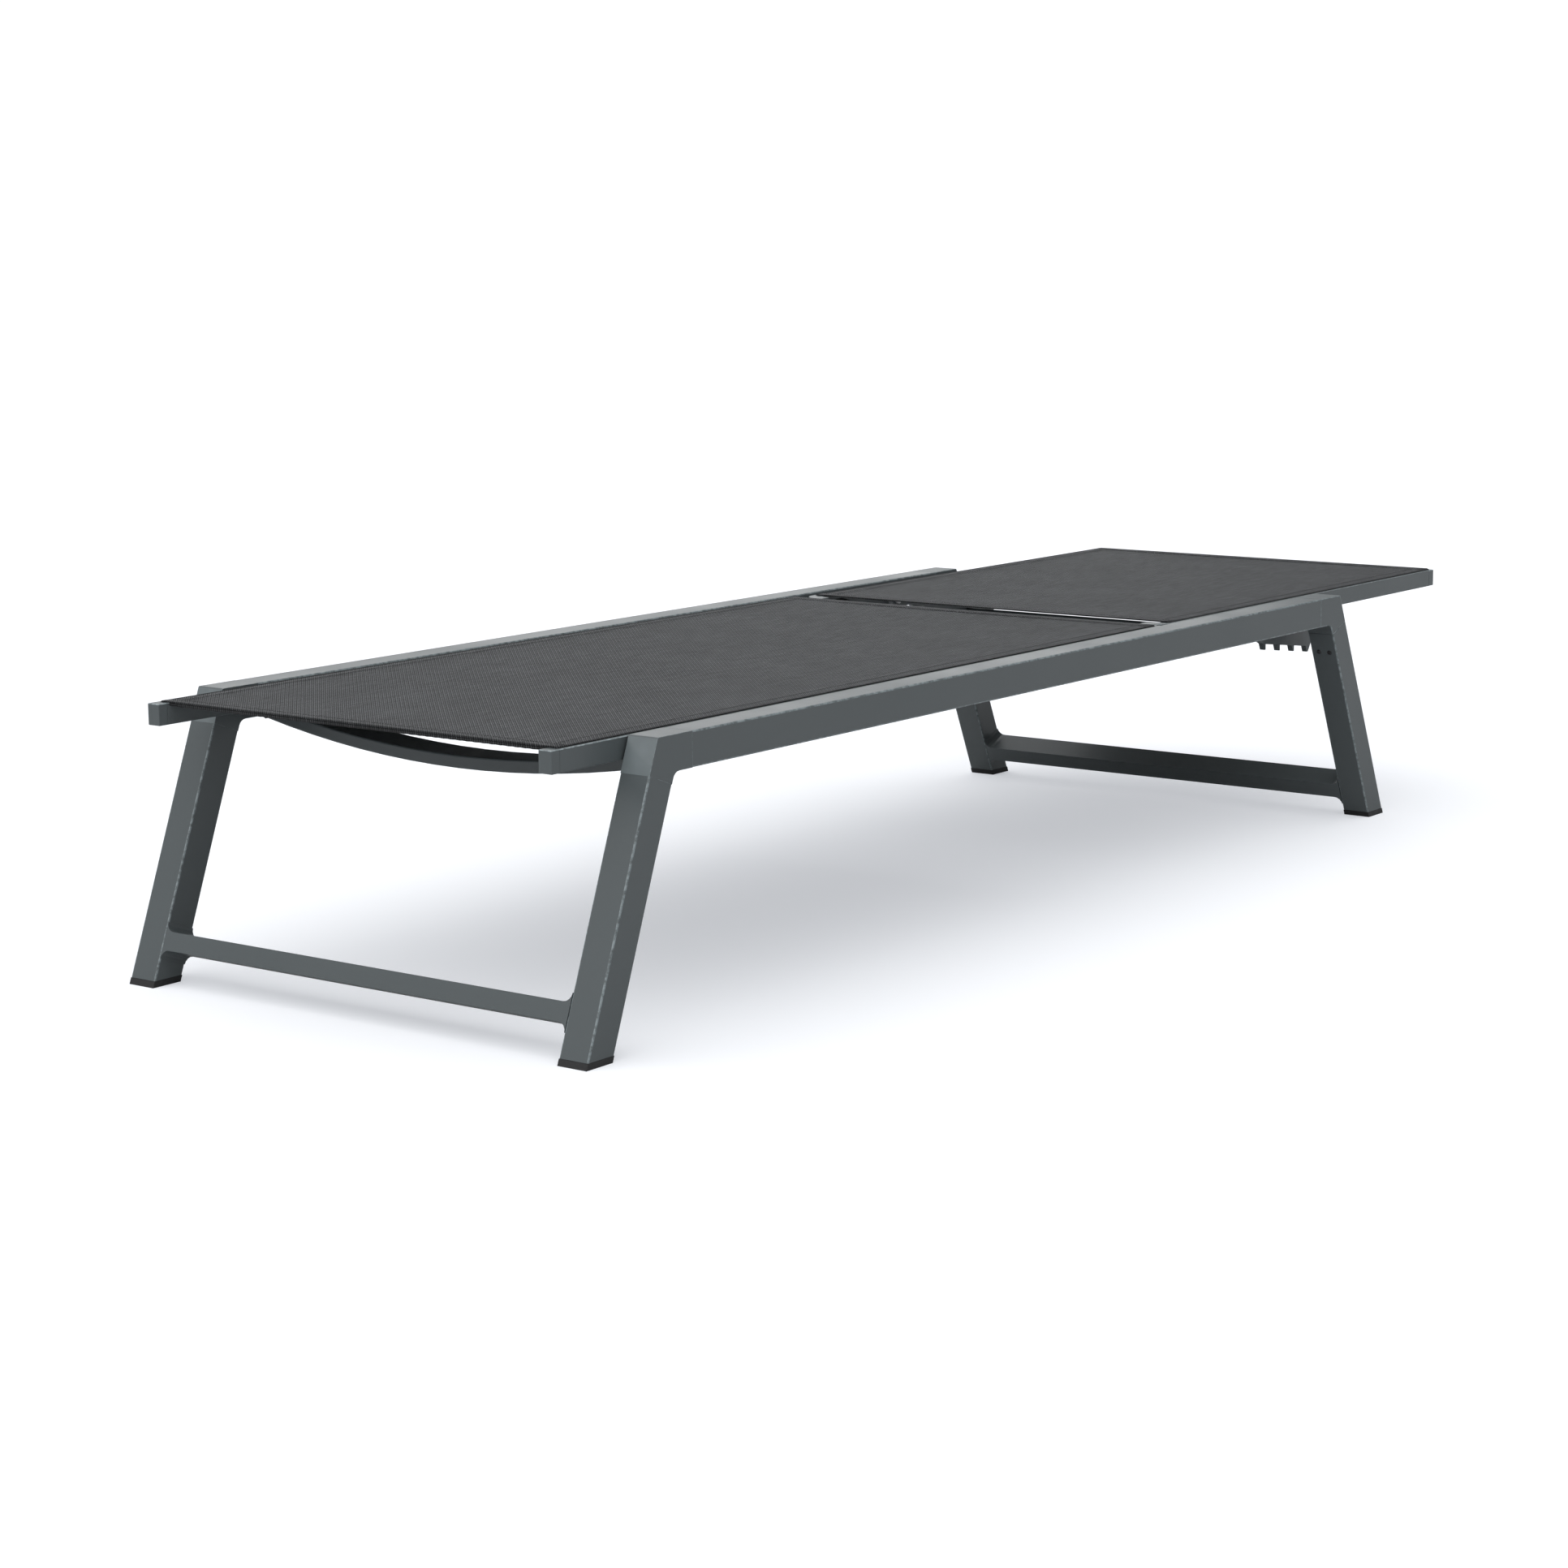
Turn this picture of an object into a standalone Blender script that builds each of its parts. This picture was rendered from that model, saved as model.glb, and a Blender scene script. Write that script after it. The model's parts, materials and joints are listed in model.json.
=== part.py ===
"""Reclining sun lounger: aluminium base frame, mesh seat and a backrest on a ratchet strut.

Metres, +Z up, X across the width, Y from the foot end (-Y) to the head end (+Y).
The origin is on the floor, in the middle of the footprint.
"""
import bpy
import bmesh
import math
from mathutils import Matrix, Vector

# overall size
WIDTH = 0.6604
LENGTH = 1.9431
HEIGHT = 0.3175
GAP = 0.0003                     # clearance kept between neighbouring pieces

# side frames
TUBE = 0.038                     # side of the square frame tube
WALL = 0.0015
EDGE = 0.0018                    # rounding along a tube's edges
FRONT_CORNER_Y = -0.852          # outer top corner over the front leg
REAR_CORNER_Y = 0.597
REAR_FOOT_Y = 0.734              # outer bottom edge of the rear leg
ELBOW_LENGTH = 0.055             # elbow's arm along the side rail
ELBOW_DROP = 0.040               # elbow's arm down the leg's outer face
ELBOW_FILLET = 0.010
SPIGOT = 0.0338                  # elbow's square peg inside a tube
SPIGOT_LENGTH = 0.025
GLIDE_HEIGHT = 0.007
CROSSBAR_FROM_FOOT = 0.0435      # along the leg, to the crossbar's lower face
CROSSBAR_HEIGHT = 0.021
CROSSBAR_FILLET = 0.010

# seat
SEAT_RAIL_OUT = 0.2885           # outer face of the seat's side rail
RAIL_WIDTH = 0.0175
RAIL_EDGE = 0.0009               # rounding along a sling rail's edges
SEAT_RAIL_TOP = 0.3158
SEAT_RAIL_HEIGHT = 0.0240
SEAT_FRONT_Y = -0.9655
SEAT_REAR_Y = 0.2000
SEAT_SLING_Y = (-0.9510, 0.1905)
SEAT_SPACER_Y = (-0.620, -0.240, 0.080)
SPACER_RADIUS = 0.008
CAP_LENGTH = 0.012
SLING_THICKNESS = 0.0012
SLING_INSET = 0.0035             # rail edge left bare beside the mesh
HEM_BAR_RADIUS = 0.0018
HEM_BAR_AT = (-0.9485, 0.3140)   # y and z of the bar in the seat's front hem
HEM_BAR_HALF = 0.2705

# keyway that grips the mesh in each rail
KEYWAY_IN = 0.0055               # from the rail's outer face to the keyway's middle
KEYWAY_DEPTH = 0.0075
KEYWAY_RADIUS = 0.0028
KEYWAY_SLIT = 0.0018
SPLINE_RADIUS = 0.0021

# bowed cross tubes
BOW_DEPTH = 0.049
BOW_HEIGHT = 0.0145
BOW_CURVE = 0.36                 # rise per square metre from the middle
FRONT_BOW_Y = -0.7655
MID_BOW_Y = 0.1250
BASE_BOW_LOW = 0.2466            # underside at the middle of the base's bows

# backrest
BACK_RAIL_OUT = 0.2830
BACK_RAIL_TOP = 0.3150
BACK_RAIL_HEIGHT = 0.0225
BACK_FRONT_Y = 0.2085
BACK_CORNER = 0.0240             # outer radius of the rail's bend at the hinge end
BACK_CORNER_REACH = 0.0330       # how far the bent end reaches inwards
BACK_SLING_Y = (0.2340, 0.9665)
BACK_CHANNEL_Y = 0.2520          # where the keyway starts, behind the hinge pin
BACK_CAP_LENGTH = 0.014
BACK_LOW_BOW_Y = 0.2335
BACK_HIGH_BOW_Y = 0.9080
BACK_BOW_LOW = 0.2745

# hinge of the backrest
HINGE_Y = 0.2400
HINGE_Z = 0.3037
PIN_RADIUS = 0.0040
PIN_HOLE = 0.0044
PIN_HEAD_RADIUS = 0.0070
STOP_Y = 0.5450
STOP_RADIUS = 0.0060

# ratchet strut and the bar that it rests on
PIVOT_Y = 0.3950
PIVOT_Z = 0.2955
STRUT_IN = 0.2562                # inner face of a strut arm
STRUT_THICKNESS = 0.0070
STRUT_EYE = 0.0110
STRUT_DROP = 0.1325              # fall of the comb's underside per metre towards the head
STRUT_UNDERSIDE_Z = 0.2596       # comb's underside at STRUT_LINE_Y
STRUT_LINE_Y = 0.4850
STRUT_DEPTH = 0.0240
STRUT_END_Y = 0.6400
TOOTH_FIRST_Y = 0.5140           # upright face of the first tooth
TOOTH_PITCH = 0.0395
TOOTH_COUNT = 4
TOOTH_ROOT = 0.0068
TOOTH_TIP = 0.0032
TOOTH_DEPTH = 0.0074
SPREADER_RADIUS = 0.0040
SPREADER_Y = 0.5720
REST_BAR_Y = 0.4515
REST_BAR_Z = 0.2740
REST_BAR_RADIUS = 0.0050
BRACKET_THICKNESS = 0.0057

INNER_FACE = WIDTH / 2 - TUBE    # inner face of a side frame
SIDES = (("left", -1), ("right", 1))


def clear_scene():
    for thing in list(bpy.data.objects):
        bpy.data.objects.remove(thing, do_unlink=True)


def new_collection(name):
    group = bpy.data.collections.new(name)
    bpy.context.scene.collection.children.link(group)
    return group


def material(name, colour, roughness, metallic):
    finish = bpy.data.materials.new(name)
    finish.use_nodes = True
    shader = finish.node_tree.nodes["Principled BSDF"]
    shader.inputs["Base Color"].default_value = (*colour, 1.0)
    shader.inputs["Roughness"].default_value = roughness
    shader.inputs["Metallic"].default_value = metallic
    return finish


def place(name, mesh, group, finish, matrix=None):
    thing = bpy.data.objects.new(name, mesh)
    if matrix is not None:
        thing.matrix_world = matrix
    group.objects.link(thing)
    if finish is not None:
        thing.data.materials.clear()
        thing.data.materials.append(finish)
    return thing


def round_shading(thing, angle=35):
    thing.data.shade_smooth()
    thing.data.set_sharp_from_angle(angle=math.radians(angle))


def box_mesh(name, size, centre, rounded=None):
    """A box; rounded picks the edges to round, from their two ends."""
    shape = bmesh.new()
    bmesh.ops.create_cube(shape, size=1.0)
    bmesh.ops.scale(shape, vec=size, verts=shape.verts)
    if rounded is not None:
        edges = [e for e in shape.edges if rounded(e.verts[0].co, e.verts[1].co)]
        bmesh.ops.bevel(shape, geom=edges, offset=RAIL_EDGE, segments=2, profile=0.5,
                        affect="EDGES")
    bmesh.ops.translate(shape, vec=centre, verts=shape.verts)
    mesh = bpy.data.meshes.new(name)
    shape.to_mesh(mesh)
    shape.free()
    return mesh


def cutter(thing):
    thing.hide_render = True
    thing.display_type = "WIRE"
    return thing


def boolean(thing, tool, operation):
    change = thing.modifiers.new(operation.lower(), "BOOLEAN")
    change.operation = operation
    change.solver = "EXACT"
    change.object = tool


def bevel(thing, width, angle=40, segments=2):
    change = thing.modifiers.new("edges", "BEVEL")
    change.width = width
    change.segments = segments
    change.limit_method = "ANGLE"
    change.angle_limit = math.radians(angle)


def arc(centre, radius, start, end, steps):
    """Points on an arc, angles in degrees, both ends included."""
    points = []
    for step in range(steps + 1):
        angle = math.radians(start + (end - start) * step / steps)
        points.append((centre[0] + radius * math.cos(angle), centre[1] + radius * math.sin(angle)))
    return points


def fillet(corner, before, after, radius, steps=4):
    """Points that round the corner between two straight edges."""
    corner, before, after = Vector(corner), Vector(before), Vector(after)
    to_before = (before - corner).normalized()
    to_after = (after - corner).normalized()
    half = to_before.angle(to_after) / 2
    centre = corner + (to_before + to_after).normalized() * (radius / math.sin(half))
    first = corner + to_before * (radius / math.tan(half)) - centre
    last = corner + to_after * (radius / math.tan(half)) - centre
    turn = first.angle_signed(last)
    points = []
    for step in range(steps + 1):
        angle = -turn * step / steps
        spun = Vector((first.x * math.cos(angle) - first.y * math.sin(angle),
                       first.x * math.sin(angle) + first.y * math.cos(angle)))
        points.append(tuple(centre + spun))
    return points


def plate(name, outline, thickness, matrix, group, finish):
    """A flat outline drawn in a plane and given its thickness, as a mesh."""
    curve = bpy.data.curves.new(name, "CURVE")
    curve.dimensions = "2D"
    curve.fill_mode = "BOTH"
    curve.extrude = thickness / 2
    line = curve.splines.new("POLY")
    line.points.add(len(outline) - 1)
    for point, (u, v) in zip(line.points, outline):
        point.co = (u, v, 0, 1)
    line.use_cyclic_u = True
    drawn = bpy.data.objects.new(name + "_outline", curve)
    group.objects.link(drawn)
    bpy.context.view_layer.update()
    seen = drawn.evaluated_get(bpy.context.evaluated_depsgraph_get())
    mesh = bpy.data.meshes.new_from_object(seen)
    mesh.name = name
    bpy.data.objects.remove(drawn, do_unlink=True)
    shape = bmesh.new()
    shape.from_mesh(mesh)
    bmesh.ops.remove_doubles(shape, verts=shape.verts, dist=0.00001)
    bmesh.ops.recalc_face_normals(shape, faces=shape.faces)
    shape.to_mesh(mesh)
    shape.free()
    return place(name, mesh, group, finish, matrix)


def side_plane(x):
    """Plane whose u is +Y and whose v is +Z, at the given x."""
    return Matrix(((0, 0, 1, x), (1, 0, 0, 0), (0, 1, 0, 0), (0, 0, 0, 1)))


def end_plane(y):
    """Plane whose u is +X and whose v is +Z, at the given y."""
    return Matrix(((1, 0, 0, 0), (0, 0, -1, y), (0, 1, 0, 0), (0, 0, 0, 1)))


def rod(name, radius, start, end, group, finish, sides=24):
    start, end = Vector(start), Vector(end)
    shape = bmesh.new()
    bmesh.ops.create_cone(shape, cap_ends=True, segments=sides, radius1=radius, radius2=radius,
                          depth=(end - start).length)
    mesh = bpy.data.meshes.new(name)
    shape.to_mesh(mesh)
    shape.free()
    turn = (end - start).to_track_quat("Z", "Y").to_matrix().to_4x4()
    thing = place(name, mesh, group, finish, Matrix.Translation((start + end) / 2) @ turn)
    round_shading(thing)
    return thing


def open_tube(name, width, depth, wall, ends, group, finish, matrix=None, bend=None, pieces=1):
    """A rectangular tube along its own z, open at both ends.

    ends gives the height of each end's cut. bend moves the points of the outer skin
    before the wall is made.
    """
    shape = bmesh.new()
    bmesh.ops.create_cube(shape, size=1.0)
    bmesh.ops.scale(shape, vec=(width, depth, 1.0), verts=shape.verts)
    long_edges = [e for e in shape.edges if abs(e.verts[0].co.z - e.verts[1].co.z) > 0.5]
    bmesh.ops.bevel(shape, geom=long_edges, offset=EDGE, segments=2, profile=0.5, affect="EDGES")
    caps = [f for f in shape.faces if abs(f.normal.z) > 0.9]
    bmesh.ops.delete(shape, geom=caps, context="FACES_ONLY")
    if pieces > 1:
        along = [e for e in shape.edges if abs(e.verts[0].co.z - e.verts[1].co.z) > 0.5]
        bmesh.ops.subdivide_edges(shape, edges=along, cuts=pieces - 1, use_grid_fill=True)
    for vert in shape.verts:
        vert.co.z = ends[0] + (ends[1] - ends[0]) * (vert.co.z + 0.5)
        if bend is not None:
            bend(vert)
    mesh = bpy.data.meshes.new(name)
    shape.to_mesh(mesh)
    shape.free()
    thing = place(name, mesh, group, finish, matrix)
    skin = thing.modifiers.new("wall", "SOLIDIFY")
    skin.thickness = wall
    skin.offset = -1
    skin.use_even_offset = True
    return thing


# The leg's own frame: v runs up the outer face from its bottom edge, u runs into the tube.
class Leg:
    def __init__(self, end, foot_y, corner_y):
        self.end = end
        self.foot = Vector((foot_y, 0))
        self.inward = 1 if corner_y > foot_y else -1
        self.tilt = math.atan2(abs(corner_y - foot_y), HEIGHT)
        self.length = math.hypot(corner_y - foot_y, HEIGHT)
        self.seam = self.length - ELBOW_DROP

    def point(self, u, v):
        """World (y, z) of a point of the leg's own frame."""
        sin, cos = math.sin(self.tilt), math.cos(self.tilt)
        return (self.foot.x + self.inward * (v * sin + u * cos), v * cos - u * sin)

    def matrix(self, x):
        """Tube frame: x across, y into the tube, z up the leg, on the tube's middle line."""
        sin, cos = math.sin(self.tilt), math.cos(self.tilt)
        y, z = self.point(TUBE / 2, 0)
        side = self.inward
        return Matrix(((side, 0, 0, x), (0, side * cos, side * sin, y), (0, -sin, cos, z),
                       (0, 0, 0, 1)))


FRONT_LEG = Leg("front", -LENGTH / 2, FRONT_CORNER_Y)
REAR_LEG = Leg("rear", REAR_FOOT_Y, REAR_CORNER_Y)
LEGS = (FRONT_LEG, REAR_LEG)


def make_leg(leg, side, sign, group, finish):
    x = sign * (WIDTH - TUBE) / 2
    name = f"leg_{leg.end}_{side}"
    tube = open_tube(name, TUBE, TUBE, WALL, (0, leg.seam - GAP / 2), group, finish,
                     leg.matrix(x))
    below = box_mesh(name + "_floor_cut", (0.06, 0.12, 0.06),
                     (x, leg.foot.x, GLIDE_HEIGHT + GAP - 0.03))
    boolean(tube, cutter(place(name + "_floor_cut", below, CUTTERS, None)), "DIFFERENCE")


def make_glide(leg, side, sign, group, finish):
    """Foot cap, with a peg that goes up inside the leg."""
    x = sign * (WIDTH - TUBE) / 2
    sin, cos = math.sin(leg.tilt), math.cos(leg.tilt)
    corners = []
    for u in (0, TUBE):
        for z in (0, GLIDE_HEIGHT):
            v = (z + u * sin) / cos
            corners.append(leg.point(u, v))
    outline = [corners[0], corners[2], corners[3], corners[1]]
    glide = plate(f"foot_glide_{leg.end}_{side}", outline, TUBE, side_plane(x), group, finish)
    inset = WALL + GAP * 2
    peg = []
    for u, z in ((inset, -0.002), (TUBE - inset, -0.002), (TUBE - inset, 0.022), (inset, 0.022)):
        v = (GLIDE_HEIGHT + z + u * sin) / cos
        peg.append(leg.point(u, v))
    tool = plate(f"peg_{leg.end}_{side}", peg, TUBE - 2 * inset, side_plane(x), CUTTERS, None)
    boolean(glide, cutter(tool), "UNION")


def make_elbow(leg, side, sign, group, finish):
    """Welded corner between side rail and leg, with a square peg into each tube."""
    x = sign * (WIDTH - TUBE) / 2
    into = leg.inward
    corner = leg.point(0, leg.length)
    rail_end = corner[0] + into * ELBOW_LENGTH
    low = HEIGHT - TUBE
    sin, cos = math.sin(leg.tilt), math.cos(leg.tilt)
    inner = leg.point(TUBE, (low + TUBE * sin) / cos)
    seam = leg.seam + GAP / 2
    inner_seam, outer_seam = leg.point(TUBE, seam), leg.point(0, seam)
    outline = [(rail_end, HEIGHT), (rail_end, low)]
    outline += fillet(inner, (rail_end, low), inner_seam, ELBOW_FILLET)
    outline += [inner_seam, outer_seam]
    outline += fillet(corner, outer_seam, (rail_end, HEIGHT), 0.0020, 2)
    elbow = plate(f"elbow_{leg.end}_{side}", outline, TUBE, side_plane(x), group, finish)
    bevel(elbow, EDGE * 0.8, 60)
    margin = (TUBE - SPIGOT) / 2
    pegs = (
        ("rail", [(rail_end - into * 0.004, low + margin),
                  (rail_end + into * SPIGOT_LENGTH, low + margin),
                  (rail_end + into * SPIGOT_LENGTH, HEIGHT - margin),
                  (rail_end - into * 0.004, HEIGHT - margin)]),
        ("leg", [leg.point(margin, seam + 0.004), leg.point(margin, seam - SPIGOT_LENGTH),
                 leg.point(TUBE - margin, seam - SPIGOT_LENGTH),
                 leg.point(TUBE - margin, seam + 0.004)]),
    )
    for word, corners in pegs:
        tool = plate(f"{word}_peg_{leg.end}_{side}", corners, SPIGOT, side_plane(x), CUTTERS, None)
        boolean(elbow, cutter(tool), "UNION")


def make_side_rail(side, sign, group, finish):
    start = FRONT_CORNER_Y + ELBOW_LENGTH + GAP
    end = REAR_CORNER_Y - ELBOW_LENGTH - GAP
    x = sign * (WIDTH - TUBE) / 2
    along_y = Matrix(((1, 0, 0, x), (0, 0, 1, 0), (0, -1, 0, HEIGHT - TUBE / 2), (0, 0, 0, 1)))
    open_tube(f"side_rail_{side}", TUBE, TUBE, WALL, (start, end), group, finish, along_y)


def make_crossbar(leg, group, finish):
    """Lower bar between a pair of legs, with rounded flares at its ends."""
    half = INNER_FACE - GAP
    low, high = CROSSBAR_FROM_FOOT, CROSSBAR_FROM_FOOT + CROSSBAR_HEIGHT
    flare = CROSSBAR_FILLET
    outline = []
    outline += arc((half - flare, low - flare), flare, 90, 0, 4)
    outline += arc((half - flare, high + flare), flare, 0, -90, 4)
    outline += arc((-half + flare, high + flare), flare, -90, -180, 4)
    outline += arc((-half + flare, low - flare), flare, 180, 90, 4)
    turn = leg.matrix(0) @ Matrix(((1, 0, 0, 0), (0, 0, 1, 0), (0, 1, 0, 0), (0, 0, 0, 1)))
    bar = plate(f"{leg.end}_crossbar", outline, TUBE, turn, group, finish)
    bevel(bar, EDGE * 0.6, 60)
    hollow = box_mesh(f"{leg.end}_crossbar_bore",
                      (WIDTH, CROSSBAR_HEIGHT - 2 * WALL, TUBE - 2 * WALL),
                      (0, (low + high) / 2, 0))
    tool = place(f"{leg.end}_crossbar_bore", hollow, CUTTERS, None, turn)
    boolean(bar, cutter(tool), "DIFFERENCE")


def make_bow(name, half, y, low, group, finish):
    """Flat cross tube that sags in the middle, so that the mesh clears it."""
    def bend(vert):
        vert.co.y += BOW_CURVE * vert.co.z ** 2

    along_x = Matrix(((0, 0, 1, 0), (1, 0, 0, y), (0, 1, 0, low + BOW_HEIGHT / 2), (0, 0, 0, 1)))
    open_tube(name, BOW_DEPTH, BOW_HEIGHT, WALL, (-half, half), group, finish, along_x,
              bend, 16)


def keyway_outline(x, top):
    """Round channel with a slit up through the rail's top."""
    middle = top - KEYWAY_DEPTH
    lean = math.degrees(math.asin(KEYWAY_SLIT / 2 / KEYWAY_RADIUS))
    points = arc((x, middle), KEYWAY_RADIUS, 90 + lean, 450 - lean, 12)
    points += [(x + KEYWAY_SLIT / 2, top + 0.002), (x - KEYWAY_SLIT / 2, top + 0.002)]
    return points


def cut_channels(rail, tag, sign, out, top, height, start, end):
    """Keyway for the mesh, and the hollow below it, along a side rail."""
    middle, length = (start + end) / 2, abs(end - start)
    slot = plate(f"keyway_{tag}", keyway_outline(sign * (out - KEYWAY_IN), top), length,
                 end_plane(middle), CUTTERS, None)
    boolean(rail, cutter(slot), "DIFFERENCE")
    low = top - height + WALL
    high = top - KEYWAY_DEPTH - KEYWAY_RADIUS - WALL
    hollow = box_mesh(f"hollow_{tag}", (RAIL_WIDTH - 2 * WALL, length, high - low),
                      (sign * (out - RAIL_WIDTH / 2), middle, (low + high) / 2))
    boolean(rail, cutter(place(f"hollow_{tag}", hollow, CUTTERS, None)), "DIFFERENCE")


def make_cap(name, sign, out, top, height, face_y, inward, length, group, finish):
    """Rail end cap, with a peg that plugs the rail's hollow."""
    middle_x = sign * (out - RAIL_WIDTH / 2)
    head = box_mesh(name, (RAIL_WIDTH, length, height),
                    (middle_x, face_y + inward * length / 2, top - height / 2),
                    lambda a, b: min(a.y * inward, b.y * inward) < 0)
    cap = place(name, head, group, finish)
    low = top - height + WALL + GAP
    high = top - KEYWAY_DEPTH - KEYWAY_RADIUS - WALL - GAP
    reach = length + 0.012
    peg = box_mesh(name + "_peg", (RAIL_WIDTH - 2 * WALL - 2 * GAP, reach, high - low),
                   (middle_x, face_y + inward * (reach / 2 + 0.004), (low + high) / 2))
    boolean(cap, cutter(place(name + "_peg", peg, CUTTERS, None)), "UNION")


def make_seat_rail(side, sign, group, finish):
    start, end = SEAT_FRONT_Y + CAP_LENGTH + GAP, SEAT_REAR_Y
    body = box_mesh(f"seat_rail_{side}", (RAIL_WIDTH, end - start, SEAT_RAIL_HEIGHT),
                    (sign * (SEAT_RAIL_OUT - RAIL_WIDTH / 2), (start + end) / 2,
                     SEAT_RAIL_TOP - SEAT_RAIL_HEIGHT / 2),
                    lambda a, b: a.y * b.y < 0)
    rail = place(f"seat_rail_{side}", body, group, finish)
    cut_channels(rail, f"seat_{side}", sign, SEAT_RAIL_OUT, SEAT_RAIL_TOP, SEAT_RAIL_HEIGHT,
                 start - 0.01, end + 0.01)


def make_sling(name, half_width, span, rail_top, group, finish):
    """Taut mesh between two rails, just above their tops."""
    low = rail_top + GAP
    sheet = box_mesh(name, (2 * half_width, span[1] - span[0], SLING_THICKNESS),
                     (0, (span[0] + span[1]) / 2, low + SLING_THICKNESS / 2))
    place(name, sheet, group, finish)


def make_spline(name, sign, out, top, span, group, finish):
    x, z = sign * (out - KEYWAY_IN), top - KEYWAY_DEPTH
    rod(name, SPLINE_RADIUS, (x, span[0], z), (x, span[1], z), group, finish, 12)


def make_back_rail(side, sign, group, finish):
    """Backrest's side rail, bent inwards at the hinge end."""
    out, inner = BACK_RAIL_OUT, BACK_RAIL_OUT - RAIL_WIDTH
    front, end = BACK_FRONT_Y, LENGTH / 2 - BACK_CAP_LENGTH - GAP
    tip = out - BACK_CORNER_REACH
    small = BACK_CORNER - RAIL_WIDTH
    centre = (out - BACK_CORNER, front + BACK_CORNER)
    outline = [(out, end)] + arc(centre, BACK_CORNER, 0, -90, 8) + [(tip, front)]
    outline += [(tip, front + RAIL_WIDTH)] + arc(centre, small, -90, 0, 5) + [(inner, end)]
    outline = [(sign * x, y) for x, y in outline]
    level = Matrix.Translation((0, 0, BACK_RAIL_TOP - BACK_RAIL_HEIGHT / 2))
    rail = plate(f"backrest_rail_{side}", outline, BACK_RAIL_HEIGHT, level, group, finish)
    bevel(rail, RAIL_EDGE, 60)
    cut_channels(rail, f"back_{side}", sign, out, BACK_RAIL_TOP, BACK_RAIL_HEIGHT,
                 BACK_CHANNEL_Y, end + 0.01)
    hole = rod(f"hinge_hole_{side}", PIN_HOLE, (sign * (inner - 0.01), HINGE_Y, HINGE_Z),
               (sign * (out + 0.01), HINGE_Y, HINGE_Z), CUTTERS, None, 20)
    boolean(rail, cutter(hole), "DIFFERENCE")
    round_shading(rail)


def headed_pin(name, sign, near, far, head, y, z, radius, head_radius, group, finish):
    """Pin along X with a head at its inner end, turned from one profile."""
    profile = [(0, near), (head_radius * 0.8, near), (head_radius, near + 0.0008),
               (head_radius, near + head), (radius, near + head), (radius, far), (0, far)]
    curve = bmesh.new()
    ring = [curve.verts.new((r, 0, x)) for r, x in profile]
    for first, second in zip(ring, ring[1:]):
        curve.edges.new((first, second))
    bmesh.ops.spin(curve, geom=curve.verts[:] + curve.edges[:], cent=(0, 0, 0), axis=(0, 0, 1),
                   angle=2 * math.pi, steps=20, use_merge=True)
    bmesh.ops.remove_doubles(curve, verts=curve.verts, dist=0.00001)
    bmesh.ops.recalc_face_normals(curve, faces=curve.faces)
    mesh = bpy.data.meshes.new(name)
    curve.to_mesh(mesh)
    curve.free()
    along = Matrix(((0, 0, sign, 0), (sign, 0, 0, y), (0, 1, 0, z), (0, 0, 0, 1)))
    pin = place(name, mesh, group, finish, along)
    round_shading(pin)


def make_bush(side, sign, group, finish):
    """Spacer ring on the hinge pin, between side frame and backrest rail."""
    near, far = BACK_RAIL_OUT + GAP, INNER_FACE - GAP
    ring = rod(f"hinge_bush_{side}", PIN_HEAD_RADIUS, (sign * near, HINGE_Y, HINGE_Z),
               (sign * far, HINGE_Y, HINGE_Z), group, finish)
    bore = rod(f"bush_bore_{side}", PIN_HOLE, (sign * (near - 0.01), HINGE_Y, HINGE_Z),
               (sign * (far + 0.01), HINGE_Y, HINGE_Z), CUTTERS, None, 20)
    boolean(ring, cutter(bore), "DIFFERENCE")


def underside(y):
    """Height of the comb's underside."""
    return STRUT_UNDERSIDE_Z - STRUT_DROP * (y - STRUT_LINE_Y)


def strut_outline():
    """Side view of a strut arm: eye, straight shank, then the comb with hooked teeth."""
    bar_top = REST_BAR_Z + REST_BAR_RADIUS + 0.0005
    line = arc((PIVOT_Y, PIVOT_Z), STRUT_EYE, 90, 270, 10)
    line += [(REST_BAR_Y - 0.022, PIVOT_Z - STRUT_EYE), (REST_BAR_Y - 0.010, bar_top)]
    line += [(REST_BAR_Y + 0.008, bar_top)]
    for number in range(TOOTH_COUNT):
        face = TOOTH_FIRST_Y + number * TOOTH_PITCH
        root = face - TOOTH_ROOT
        tip = underside(face) - TOOTH_DEPTH
        line += [(root, underside(root)), (face - TOOTH_TIP, tip), (face, tip)]
        if number < TOOTH_COUNT - 1:
            line.append((face, underside(face)))
    end_low, end_high = underside(STRUT_END_Y), underside(STRUT_END_Y) + STRUT_DEPTH
    line += [(STRUT_END_Y - 0.003, end_low), (STRUT_END_Y, end_low + 0.005)]
    line += arc((STRUT_END_Y - 0.007, end_high - 0.007), 0.007, 0, 80, 4)
    line += [(STRUT_LINE_Y, underside(STRUT_LINE_Y) + STRUT_DEPTH)]
    line += [(REST_BAR_Y, PIVOT_Z + STRUT_EYE - 0.002)]
    return line[::-1]


def make_strut(side, sign, group, finish):
    x = sign * (STRUT_IN + STRUT_THICKNESS / 2)
    arm = plate(f"ratchet_strut_{side}", strut_outline(), STRUT_THICKNESS, side_plane(x), group,
                finish)
    hole = rod(f"strut_hole_{side}", 0.0038, (sign * (STRUT_IN - 0.01), PIVOT_Y, PIVOT_Z),
               (sign * (STRUT_IN + 0.02), PIVOT_Y, PIVOT_Z), CUTTERS, None, 20)
    boolean(arm, cutter(hole), "DIFFERENCE")


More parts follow.
